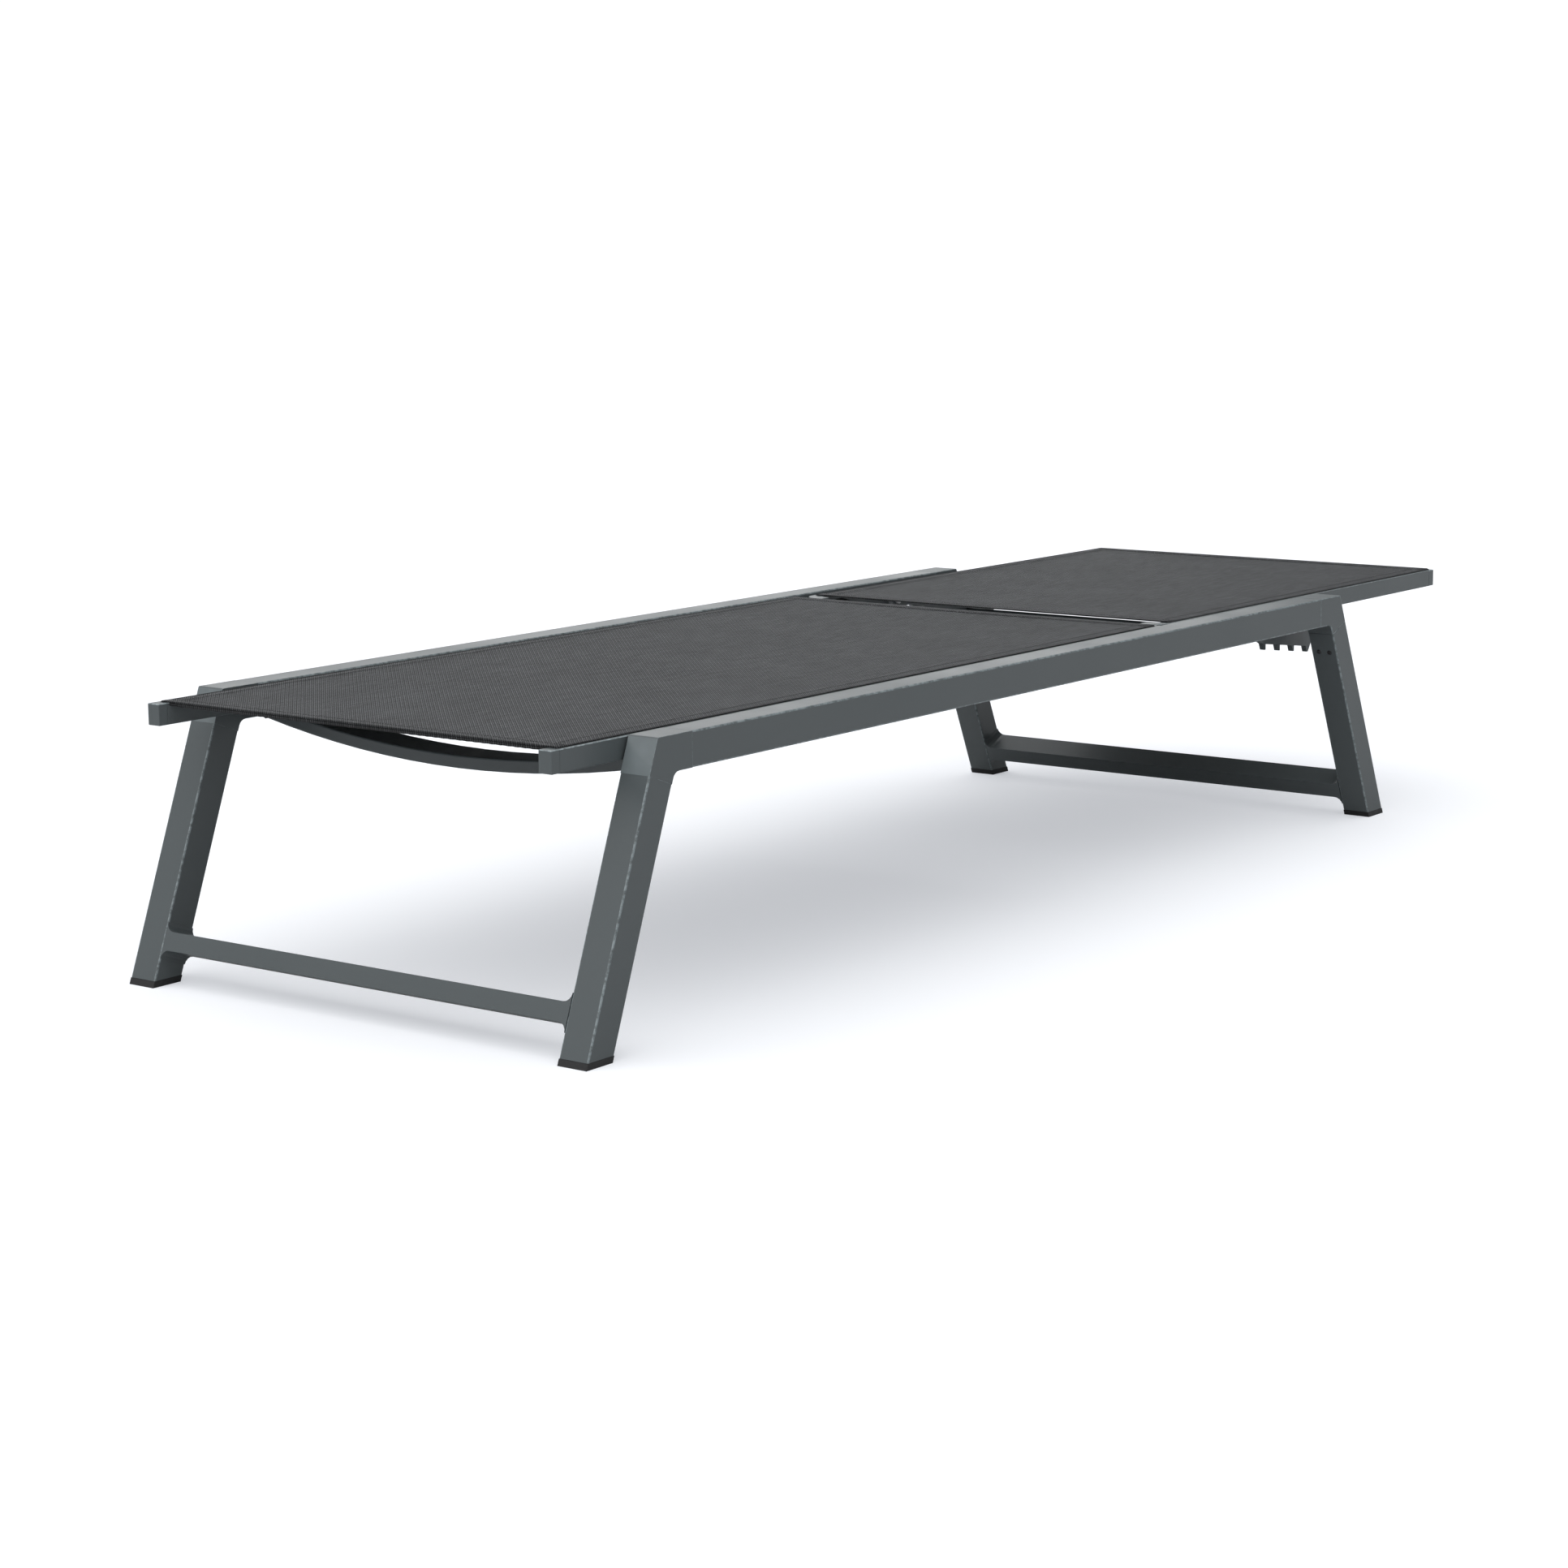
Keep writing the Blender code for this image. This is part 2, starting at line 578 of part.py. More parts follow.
def make_bracket(side, sign, group, finish):
    """Tab on the side frame that carries the rest bar."""
    middle = INNER_FACE - GAP - BRACKET_THICKNESS / 2
    reach = 0.0075
    outline = arc((REST_BAR_Y, REST_BAR_Z), reach, 180, 360, 10)
    outline += [(REST_BAR_Y + 0.014, HEIGHT - 0.014), (REST_BAR_Y - 0.014, HEIGHT - 0.014)]
    plate(f"rest_bar_bracket_{side}", outline, BRACKET_THICKNESS, side_plane(sign * middle), group,
          finish)


def build_base(group, finish):
    frame, black, steel, mesh = (finish[k] for k in ("frame", "black", "steel", "mesh"))
    for side, sign in SIDES:
        make_side_rail(side, sign, group, frame)
        for leg in LEGS:
            make_elbow(leg, side, sign, group, frame)
            make_leg(leg, side, sign, group, frame)
            make_glide(leg, side, sign, group, black)
        make_seat_rail(side, sign, group, frame)
        make_cap(f"seat_rail_cap_{side}", sign, SEAT_RAIL_OUT, SEAT_RAIL_TOP, SEAT_RAIL_HEIGHT,
                 SEAT_FRONT_Y, 1, CAP_LENGTH, group, frame)
        make_spline(f"seat_spline_{side}", sign, SEAT_RAIL_OUT, SEAT_RAIL_TOP, SEAT_SLING_Y, group,
                    black)
        for number, y in enumerate(SEAT_SPACER_Y, 1):
            z = SEAT_RAIL_TOP - SEAT_RAIL_HEIGHT / 2
            rod(f"seat_rail_spacer_{side}_{number}", SPACER_RADIUS,
                (sign * (SEAT_RAIL_OUT + GAP), y, z), (sign * (INNER_FACE - GAP), y, z), group,
                steel)
        make_bracket(side, sign, group, frame)
        stop_z = BACK_RAIL_TOP - BACK_RAIL_HEIGHT - GAP - STOP_RADIUS
        rod(f"backrest_stop_{side}", STOP_RADIUS, (sign * 0.2690, STOP_Y, stop_z),
            (sign * (INNER_FACE - GAP), STOP_Y, stop_z), group, black)
        headed_pin(f"hinge_pin_{side}", sign, BACK_RAIL_OUT - RAIL_WIDTH - 0.0048,
                   INNER_FACE - GAP, 0.0043, HINGE_Y, HINGE_Z, PIN_RADIUS, PIN_HEAD_RADIUS, group,
                   steel)
        make_bush(side, sign, group, black)
    for leg in LEGS:
        make_crossbar(leg, group, frame)
    make_bow("front_bow_tube", INNER_FACE - GAP, FRONT_BOW_Y, BASE_BOW_LOW, group, frame)
    make_bow("middle_bow_tube", INNER_FACE - GAP, MID_BOW_Y, BASE_BOW_LOW, group, frame)
    bar_end = INNER_FACE - 2 * GAP - BRACKET_THICKNESS
    rod("rest_bar", REST_BAR_RADIUS, (-bar_end, REST_BAR_Y, REST_BAR_Z),
        (bar_end, REST_BAR_Y, REST_BAR_Z), group, frame)
    make_sling("seat_sling", SEAT_RAIL_OUT - SLING_INSET, SEAT_SLING_Y, SEAT_RAIL_TOP, group, mesh)
    rod("seat_front_hem_bar", HEM_BAR_RADIUS, (-HEM_BAR_HALF, *HEM_BAR_AT),
        (HEM_BAR_HALF, *HEM_BAR_AT), group, black, 16)


def build_backrest(group, finish):
    frame, black, steel, mesh = (finish[k] for k in ("frame", "black", "steel", "mesh"))
    inner = BACK_RAIL_OUT - RAIL_WIDTH - GAP
    for side, sign in SIDES:
        make_back_rail(side, sign, group, frame)
        make_cap(f"backrest_cap_{side}", sign, BACK_RAIL_OUT, BACK_RAIL_TOP, BACK_RAIL_HEIGHT,
                 LENGTH / 2, -1, BACK_CAP_LENGTH, group, frame)
        make_spline(f"back_spline_{side}", sign, BACK_RAIL_OUT, BACK_RAIL_TOP,
                    (BACK_CHANNEL_Y + 0.003, LENGTH / 2 - BACK_CAP_LENGTH - 0.002), group, black)
        headed_pin(f"strut_pivot_{side}", sign, STRUT_IN - 0.0048, inner - GAP, 0.0043, PIVOT_Y,
                   PIVOT_Z, 0.0034, 0.0062, group, steel)
    make_bow("backrest_lower_bow", BACK_RAIL_OUT - BACK_CORNER_REACH - GAP, BACK_LOW_BOW_Y,
             BACK_BOW_LOW, group, frame)
    make_bow("backrest_upper_bow", inner, BACK_HIGH_BOW_Y, BACK_BOW_LOW, group, frame)
    make_sling("back_sling", BACK_RAIL_OUT - SLING_INSET, BACK_SLING_Y, BACK_RAIL_TOP, group, mesh)


def build_strut_frame(group, finish):
    for side, sign in SIDES:
        make_strut(side, sign, group, finish["frame"])
    z = underside(SPREADER_Y) + STRUT_DEPTH * 0.55
    rod("strut_spreader", SPREADER_RADIUS, (-STRUT_IN + GAP, SPREADER_Y, z),
        (STRUT_IN - GAP, SPREADER_Y, z), group, finish["frame"])


def hang(things, name, y, z, group):
    """Parents the pieces to an empty on their joint's axis."""
    axis = bpy.data.objects.new(name, None)
    axis.location = (0, y, z)
    group.objects.link(axis)
    bpy.context.view_layer.update()
    for thing in things:
        world = thing.matrix_world.copy()
        thing.parent = axis
        thing.matrix_parent_inverse = axis.matrix_world.inverted()
        thing.matrix_world = world
    return axis


def build(group):
    finish = {
        "frame": material("frame_powder_coat", (0.105, 0.115, 0.120), 0.45, 0.35),
        "black": material("black_plastic", (0.010, 0.010, 0.011), 0.50, 0.0),
        "steel": material("bright_steel", (0.560, 0.560, 0.570), 0.30, 1.0),
        "mesh": material("mesh_fabric", (0.085, 0.088, 0.092), 0.75, 0.0),
    }
    build_base(group, finish)
    fixed = set(group.objects)
    build_backrest(group, finish)
    leaning = [o for o in group.objects if o not in fixed]
    build_strut_frame(group, finish)
    swinging = [o for o in group.objects if o not in fixed and o not in leaning]
    axis = hang(leaning, "backrest_axis", HINGE_Y, HINGE_Z, group)
    strut_axis = hang(swinging, "strut_axis", PIVOT_Y, PIVOT_Z, group)
    strut_axis.parent = axis
    strut_axis.matrix_parent_inverse = axis.matrix_world.inverted()


clear_scene()
PARTS = new_collection("reclining_sun_lounger")
CUTTERS = new_collection("cutters")
build(PARTS)
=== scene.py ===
import json
import math
import bmesh
import bpy
from mathutils import Matrix, Vector


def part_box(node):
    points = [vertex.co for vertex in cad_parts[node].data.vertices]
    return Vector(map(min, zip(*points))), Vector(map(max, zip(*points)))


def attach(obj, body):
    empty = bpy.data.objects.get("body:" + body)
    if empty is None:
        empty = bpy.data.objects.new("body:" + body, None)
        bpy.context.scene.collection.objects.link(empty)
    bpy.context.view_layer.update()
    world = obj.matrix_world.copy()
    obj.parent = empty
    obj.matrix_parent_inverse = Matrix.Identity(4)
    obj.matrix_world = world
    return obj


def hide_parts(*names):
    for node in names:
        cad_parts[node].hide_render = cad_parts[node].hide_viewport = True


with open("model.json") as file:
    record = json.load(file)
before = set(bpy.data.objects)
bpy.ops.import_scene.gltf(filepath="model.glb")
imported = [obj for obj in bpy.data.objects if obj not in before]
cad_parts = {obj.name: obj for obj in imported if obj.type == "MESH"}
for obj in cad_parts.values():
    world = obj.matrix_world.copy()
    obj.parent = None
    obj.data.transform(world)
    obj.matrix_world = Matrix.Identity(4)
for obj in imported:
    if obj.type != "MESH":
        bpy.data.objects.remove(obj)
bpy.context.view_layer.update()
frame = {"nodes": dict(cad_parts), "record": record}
print("frame loaded")

noiseSpan = (0.3, 0.7)         # where nearly all of a noise texture's values lie


def newMaterial(name):
    material = bpy.data.materials.new(name)
    material.use_nodes = True
    return material, material.node_tree, material.node_tree.nodes["Principled BSDF"]


def addNode(tree, kind, **settings):
    made = tree.nodes.new(kind)
    for key, value in settings.items():
        setattr(made, key, value)
    return made


def feed(tree, socket, value):
    if isinstance(value, bpy.types.NodeSocket):
        tree.links.new(value, socket)
    else:
        socket.default_value = value


def calc(tree, operation, first, second=0.0, third=0.0):
    made = addNode(tree, "ShaderNodeMath", operation=operation)
    for socket, value in zip(made.inputs, (first, second, third)):
        feed(tree, socket, value)
    return made.outputs[0]


def spread(tree, value, low, high, fromLow=0.0, fromHigh=1.0, smooth=False):
    made = addNode(tree, "ShaderNodeMapRange")
    made.interpolation_type = "SMOOTHSTEP" if smooth else "LINEAR"
    feed(tree, made.inputs["Value"], value)
    feed(tree, made.inputs["From Min"], fromLow)
    feed(tree, made.inputs["From Max"], fromHigh)
    feed(tree, made.inputs["To Min"], low)
    feed(tree, made.inputs["To Max"], high)
    return made.outputs["Result"]


def fromNoise(tree, noise, low, high):
    return spread(tree, noise, low, high, *noiseSpan)


def grain(tree, place, scale, detail=2.0, roughness=0.5):
    made = addNode(tree, "ShaderNodeTexNoise")
    feed(tree, made.inputs["Vector"], place)
    made.inputs["Scale"].default_value = scale
    made.inputs["Detail"].default_value = detail
    made.inputs["Roughness"].default_value = roughness
    return made.outputs["Fac"]


def stretched(tree, place, scale):
    made = addNode(tree, "ShaderNodeMapping")
    made.inputs["Scale"].default_value = scale
    tree.links.new(place, made.inputs["Vector"])
    return made.outputs[0]


def mixColour(tree, share, first, second):
    made = addNode(tree, "ShaderNodeMix", data_type="RGBA")
    feed(tree, made.inputs[0], share)
    feed(tree, made.inputs[6], (*first, 1.0) if isinstance(first, tuple) else first)
    feed(tree, made.inputs[7], (*second, 1.0) if isinstance(second, tuple) else second)
    return made.outputs[2]


def lighter(colour, times):
    return tuple(min(1.0, c * times) for c in colour)


def relief(tree, shader, height, depth):
    made = addNode(tree, "ShaderNodeBump")
    made.inputs["Strength"].default_value = 1.0
    made.inputs["Distance"].default_value = depth
    feed(tree, made.inputs["Height"], height)
    tree.links.new(made.outputs["Normal"], shader.inputs["Normal"])


def objectPlace(tree):
    return addNode(tree, "ShaderNodeTexCoord").outputs["Object"]


def axesOf(tree, vector):
    made = addNode(tree, "ShaderNodeSeparateXYZ")
    tree.links.new(vector, made.inputs[0])
    return made.outputs


powderCoat = {
    "colour": (0.078, 0.091, 0.095),
    "paleShare": 0.12,         # how much lighter the coat gets in patches
    "patchScale": 7.0,
    "speckleScale": 2600.0,
    "roughness": (0.34, 0.42),
    "peelScale": 850.0,        # orange peel of the baked powder
    "peelDepth": 0.00006,
    "edgeStart": (0.14, 0.34),       # how far a normal has turned where a face becomes an edge
    "edgeEnd": (0.93, 0.99),         # and where the edge becomes the next face
    "edgeLift": {"X": 3.0, "Z": 4.5},    # times lighter on an edge, a painted highlight: X for tubes, Z for sling rails
    "highlightBreakScale": 160.0,
    "highlightBreaks": (0.38, 0.60),       # noise over which the painted edge highlight breaks up
    "faceStart": (0.80, 0.90),
    "litFaceLift": 2.0,           # times lighter on a casting's outward face, a painted highlight where light falls on it
    "faceClouds": 38.0,
}


def makePowderCoat(name, edgeAxis=None, outward=0):
    material, tree, shader = newMaterial(name)
    place = objectPlace(tree)
    dark = powderCoat["colour"]
    patches = grain(tree, place, powderCoat["patchScale"], 3.0)
    speckle = grain(tree, place, powderCoat["speckleScale"], 1.0)
    share = calc(tree, "MULTIPLY_ADD", speckle, 0.5, calc(tree, "MULTIPLY", patches, 0.5))
    colour = mixColour(tree, share, dark, lighter(dark, 1 + powderCoat["paleShare"]))
    facing = axesOf(tree, addNode(tree, "ShaderNodeTexCoord").outputs["Normal"])
    if outward:
        # painted highlight: the casting's face that points out along the lounger is lightened as if lit,
        # broken up by noise
        ahead = calc(tree, "MULTIPLY", facing["Y"], outward)
        cloudy = fromNoise(tree, grain(tree, place, powderCoat["faceClouds"]), 0.55, 1.0)
        paintedLitFace = calc(tree, "MULTIPLY", spread(tree, ahead, 0.0, 1.0, *powderCoat["faceStart"]), cloudy)
        colour = mixColour(tree, paintedLitFace, colour, lighter(dark, powderCoat["litFaceLift"]))
    if edgeAxis:               # an edge's rounding is what faces neither along this axis nor across it
        across = facing[edgeAxis]
        if edgeAxis == "X":    # a tube gets the painted highlight on all its edges, a level sling rail on its upper edges only
            across = calc(tree, "ABSOLUTE", across)
        rising = spread(tree, across, 0.0, 1.0, *powderCoat["edgeStart"])
        falling = spread(tree, across, 1.0, 0.0, *powderCoat["edgeEnd"])
        # painted highlight along the edge's rounding, broken up by noise
        highlightNoise = grain(tree, place, powderCoat["highlightBreakScale"], 3.0, 0.7)
        broken = spread(tree, highlightNoise, 0.1, 1.0, *powderCoat["highlightBreaks"])
        edgeHighlight = calc(tree, "MULTIPLY", calc(tree, "MULTIPLY", rising, falling), broken)
        colour = mixColour(tree, edgeHighlight, colour, lighter(dark, powderCoat["edgeLift"][edgeAxis]))
    feed(tree, shader.inputs["Base Color"], colour)
    feed(tree, shader.inputs["Roughness"], fromNoise(tree, patches, *powderCoat["roughness"]))
    peel = grain(tree, place, powderCoat["peelScale"], 2.0, 0.6)
    relief(tree, shader, peel, powderCoat["peelDepth"])
    return material


meshFabric = {
    "pitch": 0.00156,          # from one yarn to the next, both ways
    "warp": (0.123, 0.128, 0.134),
    "weft": (0.016, 0.017, 0.019),
    "hollow": (0.005, 0.005, 0.006),
    "hollowBand": (0.12, 0.62),      # yarn height over which the painted shade in the hollows gives way to the yarn's colour
    "yarnDip": 0.45,           # share of its height that a yarn loses beside a crossing
    "relief": 0.00042,
    "ribPitch": 0.0044,        # faint ribs on the bias, where the yarns bunch
    "ribDepth": 0.22,
    "slubs": (380.0, 34.0, 34.0),    # thick and thin stretches of yarn, per metre across and along
    "slubShade": (0.70, 1.32),
    "patchScale": 9.0,
    "patchShade": (0.90, 1.08),
    "roughness": (0.62, 0.80),
    "specular": 0.28,
    "hemShade": 0.42,           # brightness of the hem pieces against the mesh: a darker copy, painted shade on the hem's edges, side strips and pocket
}


def yarnHeight(tree, place):   # a round yarn's height over its own width
    return calc(tree, "ABSOLUTE", calc(tree, "SINE", calc(tree, "MULTIPLY", place, math.pi)))


def makeMeshFabric(name, dim=1.0):
    material, tree, shader = newMaterial(name)
    place = objectPlace(tree)
    axes = axesOf(tree, place)
    across = calc(tree, "DIVIDE", axes["X"], meshFabric["pitch"])
    along = calc(tree, "DIVIDE", axes["Y"], meshFabric["pitch"])
    roundAcross = yarnHeight(tree, across)
    roundAlong = yarnHeight(tree, along)
    # which yarn is on top changes from one crossing to the next
    crossing = calc(tree, "ADD", calc(tree, "FLOOR", across), calc(tree, "FLOOR", along))
    over = calc(tree, "PINGPONG", crossing, 1.0)
    dip = meshFabric["yarnDip"]
    warp = calc(tree, "MULTIPLY", roundAcross, calc(tree, "MULTIPLY_ADD", roundAlong, dip, 1 - dip))
    weft = calc(tree, "MULTIPLY", roundAlong, calc(tree, "MULTIPLY_ADD", roundAcross, dip, 1 - dip))
    topWarp = calc(tree, "MULTIPLY", warp, over)
    topWeft = calc(tree, "MULTIPLY", weft, calc(tree, "SUBTRACT", 1.0, over))
    height = calc(tree, "ADD", topWarp, topWeft)
    # the hollows between the yarns are painted near black, as painted shade
    shade = spread(tree, height, 0.0, 1.0, *meshFabric["hollowBand"], smooth=True)
    yarn = mixColour(tree, over, lighter(meshFabric["weft"], dim), lighter(meshFabric["warp"], dim))
    colour = mixColour(tree, shade, lighter(meshFabric["hollow"], dim), yarn)
    patches = grain(tree, place, meshFabric["patchScale"], 3.0)
    slubs = grain(tree, stretched(tree, place, meshFabric["slubs"]), 1.0, 1.0)
    patchy = calc(tree, "MULTIPLY", fromNoise(tree, patches, *meshFabric["patchShade"]),
                  fromNoise(tree, slubs, *meshFabric["slubShade"]))
    bias = calc(tree, "ADD", axes["X"], axes["Y"])
    turns = calc(tree, "MULTIPLY", bias, 2 * math.pi / (math.sqrt(2) * meshFabric["ribPitch"]))
    ribs = calc(tree, "MULTIPLY_ADD", calc(tree, "SINE", turns), meshFabric["ribDepth"], 1.0)
    shaded = addNode(tree, "ShaderNodeVectorMath", operation="SCALE")
    tree.links.new(colour, shaded.inputs[0])
    feed(tree, shaded.inputs["Scale"], calc(tree, "MULTIPLY", patchy, ribs))
    feed(tree, shader.inputs["Base Color"], shaded.outputs[0])
    low, high = meshFabric["roughness"]
    feed(tree, shader.inputs["Roughness"], spread(tree, shade, high, low))
    shader.inputs["Specular IOR Level"].default_value = meshFabric["specular"]
    relief(tree, shader, height, meshFabric["relief"])
    return material


blackPlastic = {
    "colours": ((0.007, 0.007, 0.008), (0.016, 0.016, 0.017)),
    "grainScale": 1400.0,
    "grainDepth": 0.00005,
    "patchScale": 60.0,
    "roughness": (0.42, 0.58),
}


def makeBlackPlastic(name):
    material, tree, shader = newMaterial(name)
    place = objectPlace(tree)
    fine = grain(tree, place, blackPlastic["grainScale"])
    patches = grain(tree, place, blackPlastic["patchScale"])
    feed(tree, shader.inputs["Base Color"], mixColour(tree, fine, *blackPlastic["colours"]))
    feed(tree, shader.inputs["Roughness"], fromNoise(tree, patches, *blackPlastic["roughness"]))
    relief(tree, shader, fine, blackPlastic["grainDepth"])
    return material


brightSteel = {
    "colours": ((0.50, 0.50, 0.51), (0.66, 0.66, 0.67)),
    "turning": (60.0, 2200.0, 2200.0),    # marks round the X axis, per metre
    "turningDepth": 0.00003,
    "roughness": (0.22, 0.40),
}


def makeBrightSteel(name):
    material, tree, shader = newMaterial(name)
    marks = grain(tree, stretched(tree, objectPlace(tree), brightSteel["turning"]), 1.0)
    feed(tree, shader.inputs["Base Color"], mixColour(tree, marks, *brightSteel["colours"]))
    feed(tree, shader.inputs["Roughness"], fromNoise(tree, marks, *brightSteel["roughness"]))
    shader.inputs["Metallic"].default_value = 1.0
    relief(tree, shader, marks, brightSteel["turningDepth"])
    return material


hemThread = {
    "colours": ((0.010, 0.010, 0.011), (0.030, 0.030, 0.032)),
    "twistScale": 2400.0,
    "twistDepth": 0.00006,
    "roughness": 0.6,
}


def makeThread(name):
    material, tree, shader = newMaterial(name)
    twist = grain(tree, objectPlace(tree), hemThread["twistScale"], 1.0)
    feed(tree, shader.inputs["Base Color"], mixColour(tree, twist, *hemThread["colours"]))
    shader.inputs["Roughness"].default_value = hemThread["roughness"]
    relief(tree, shader, twist, hemThread["twistDepth"])
    return material


finishes = {
    "frame_powder_coat": makePowderCoat("framePowderCoat"),
    "black_plastic": makeBlackPlastic("blackPlastic"),
    "bright_steel": makeBrightSteel("brightSteel"),
    "mesh_fabric": makeMeshFabric("meshFabric"),
}
threadFinish = makeThread("hemThread")
# a darker copy of the mesh, painted shade for the hem's folded edges, side strips and pocket
shadedHemFinish = makeMeshFabric("hemPaintedShade", meshFabric["hemShade"])
# tubes and sling rails carry a painted highlight on their edges
tubeFinish = makePowderCoat("tubePowderCoat", "X")
levelRailFinish = makePowderCoat("railPowderCoat", "Z")
# castings also carry a painted highlight on their outward faces
castingFinishes = {
    "elbow_front": makePowderCoat("frontCastingPowderCoat", "X", -1),
    "elbow_rear": makePowderCoat("rearCastingPowderCoat", "X", 1),
}
tubeNodes = ("leg_", "side_rail_")
levelRailNodes = ("seat_rail_left", "seat_rail_right", "seat_rail_cap", "backrest_rail", "backrest_cap")


def finishFor(node, slotName):
    for start, finish in castingFinishes.items():
        if node.startswith(start):
            return finish
    if node.startswith(tubeNodes):
        return tubeFinish
    if node.startswith(levelRailNodes):
        return levelRailFinish
    return finishes[slotName]


for part in frame["record"]["subparts"]:
    for holder in frame["nodes"][part["node"]].material_slots:
        holder.material = finishFor(part["node"], part["material_slot"])
print("finishes on the frame")


def looseObject(name, data):
    piece = bpy.data.objects.new(name, data)
    bpy.context.scene.collection.objects.link(piece)
    return piece


def finishPiece(name, mesh, body, finish=None):
    mesh.name = name
    if finish:                 # otherwise the mesh keeps the materials it was made with
        mesh.materials.clear()
        mesh.materials.append(finish)
    piece = looseObject(name, mesh)
    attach(piece, body)
    return piece


def applied(piece):
    bpy.context.view_layer.update()
    seen = piece.evaluated_get(bpy.context.evaluated_depsgraph_get())
    mesh = bpy.data.meshes.new_from_object(seen)
    bpy.data.objects.remove(piece, do_unlink=True)
    return mesh


def meshFrom(name, shape):
    bmesh.ops.recalc_face_normals(shape, faces=shape.faces)
    mesh = bpy.data.meshes.new(name)
    shape.to_mesh(mesh)
    shape.free()
    mesh.shade_smooth()
    return mesh


def gridMesh(name, rows, closed=False, kept=None):
    shape = bmesh.new()
    made = [[shape.verts.new(point) for point in row] for row in rows]
    for number, (first, second) in enumerate(zip(made, made[1:])):
        count = len(first)
        for i in range(count if closed else count - 1):
            if kept is None or kept(number, i):
                j = (i + 1) % count
                shape.faces.new((first[i], first[j], second[j], second[i]))
    if closed:
        shape.faces.new(made[0][::-1])
        shape.faces.new(made[-1])
    loose = [vert for vert in shape.verts if not vert.link_faces]
    bmesh.ops.delete(shape, geom=loose, context="VERTS")
    return meshFrom(name, shape)


def ringMesh(name, loops):
    shape = bmesh.new()
    made = [[shape.verts.new(point) for point in loop] for loop in loops]
    for first, second in zip(made, made[1:] + made[:1]):
        for i in range(len(first)):
            j = (i + 1) % len(first)
            shape.faces.new((first[i], first[j], second[j], second[i]))
    return meshFrom(name, shape)


def arcPoints(centre, radius, start, end, steps):
    points = []
    for step in range(steps + 1):
        angle = math.radians(start + (end - start) * step / steps)
        points.append((centre[0] + radius * math.cos(angle), centre[1] + radius * math.sin(angle)))
    return points


sling = {
    "thickness": 0.0008,
    "sag": 0.0030,             # in the middle, between the rails
    "easeLength": 0.16,        # over which the sag fades towards an end hem
    "easePower": 0.8,
    "halfColumns": 24,         # from the middle to a side hem
    "rowSpacing": 0.012,
    "hemInset": 0.0090,        # side hem's inner edge, inboard of the rail's inner face
    "hemStep": 0.0005,         # extra ply in the side hem
    "hemRun": 0.0006,          # half the slope up to that ply
    "hemSag": (0.06, 0.05),    # share of the sag below and above that slope
    "edgeBefore": 0.0030,      # the hem's slope down onto the rail, either side of its inner face
    "edgeAfter": 0.0020,
    "edgeShare": 0.8,          # share of the extra ply at the slope's start
    "edgeLift": 0.0001,
    "turnRadius": 0.0008,
    "loopRadius": 0.00245,     # round the spline in the rail's channel
    "channelDepth": 0.0075,
    "channelInset": 0.0055,
    "channelLead": 0.0028,     # the channel starts this far ahead of its spline
    "railWidth": 0.0175,
    "lie": 0.0002,             # cloth's underside above the rail's top
}


def slingProfile(railOut, railTop):
    lie = railTop + sling["lie"] + sling["thickness"] / 2
    innerEdge = railOut - sling["railWidth"]
    slotX = railOut - sling["channelInset"]
    hemEdge = innerEdge - sling["hemInset"]
    columns = sling["halfColumns"]
    side = []
    for step in range(columns):
        side.append((hemEdge * step / columns, lie, 1 - (step / columns) ** 2))
    below, above = sling["hemSag"]
    side.append((hemEdge - sling["hemRun"], lie, below))
    side.append((hemEdge + sling["hemRun"], lie + sling["hemStep"], above))
    side.append((innerEdge - sling["edgeBefore"], lie + sling["hemStep"] * sling["edgeShare"], 0.0))
    side.append((innerEdge + sling["edgeAfter"], lie + sling["edgeLift"], 0.0))
    flat = len(side)
    turn = sling["turnRadius"]
    wrap = arcPoints((slotX - turn, lie - turn), turn, 90, 0, 4)
    wrap += arcPoints((slotX, railTop - sling["channelDepth"]), sling["loopRadius"], 80, -240, 16)
    side += [(x, z, 0.0) for x, z in wrap]
    whole = [(-x, z, share) for x, z, share in side[:0:-1]] + side
    return whole, len(side) - flat - 1


def slingRows(low, high, channelStart):
    start = max(low, channelStart)
    count = round((high - start) / sling["rowSpacing"])
    places = [start + (high - start) * i / count for i in range(count + 1)]
    return [low] + places if start > low else places


def makeSling(name, body, node, railOut, railTop, channelStart):
    low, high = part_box(node)
    profile, looped = slingProfile(railOut, railTop)
    places = slingRows(low.y, high.y, channelStart)
    rows = []
    for y in places:
        near = min(y - low.y, high.y - y) / sling["easeLength"]
        ease = max(0.0, min(1.0, near)) ** sling["easePower"]
        rows.append([(x, y, z - sling["sag"] * share * ease) for x, z, share in profile])

    def kept(number, i):       # no loop where the rail has no channel yet
        return places[number] >= channelStart or looped <= i < len(profile) - 1 - looped

    raw = looseObject(name + "Raw", gridMesh(name, rows, kept=kept))
    wall = raw.modifiers.new("wall", "SOLIDIFY")
    wall.thickness = sling["thickness"]
    wall.offset = 0
    piece = finishPiece(name, applied(raw), body, finishes["mesh_fabric"])
    width = sum(math.dist(a[:2], b[:2]) for a, b in zip(profile, profile[1:]))
    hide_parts(node)
    return piece, (width, high.y - low.y)


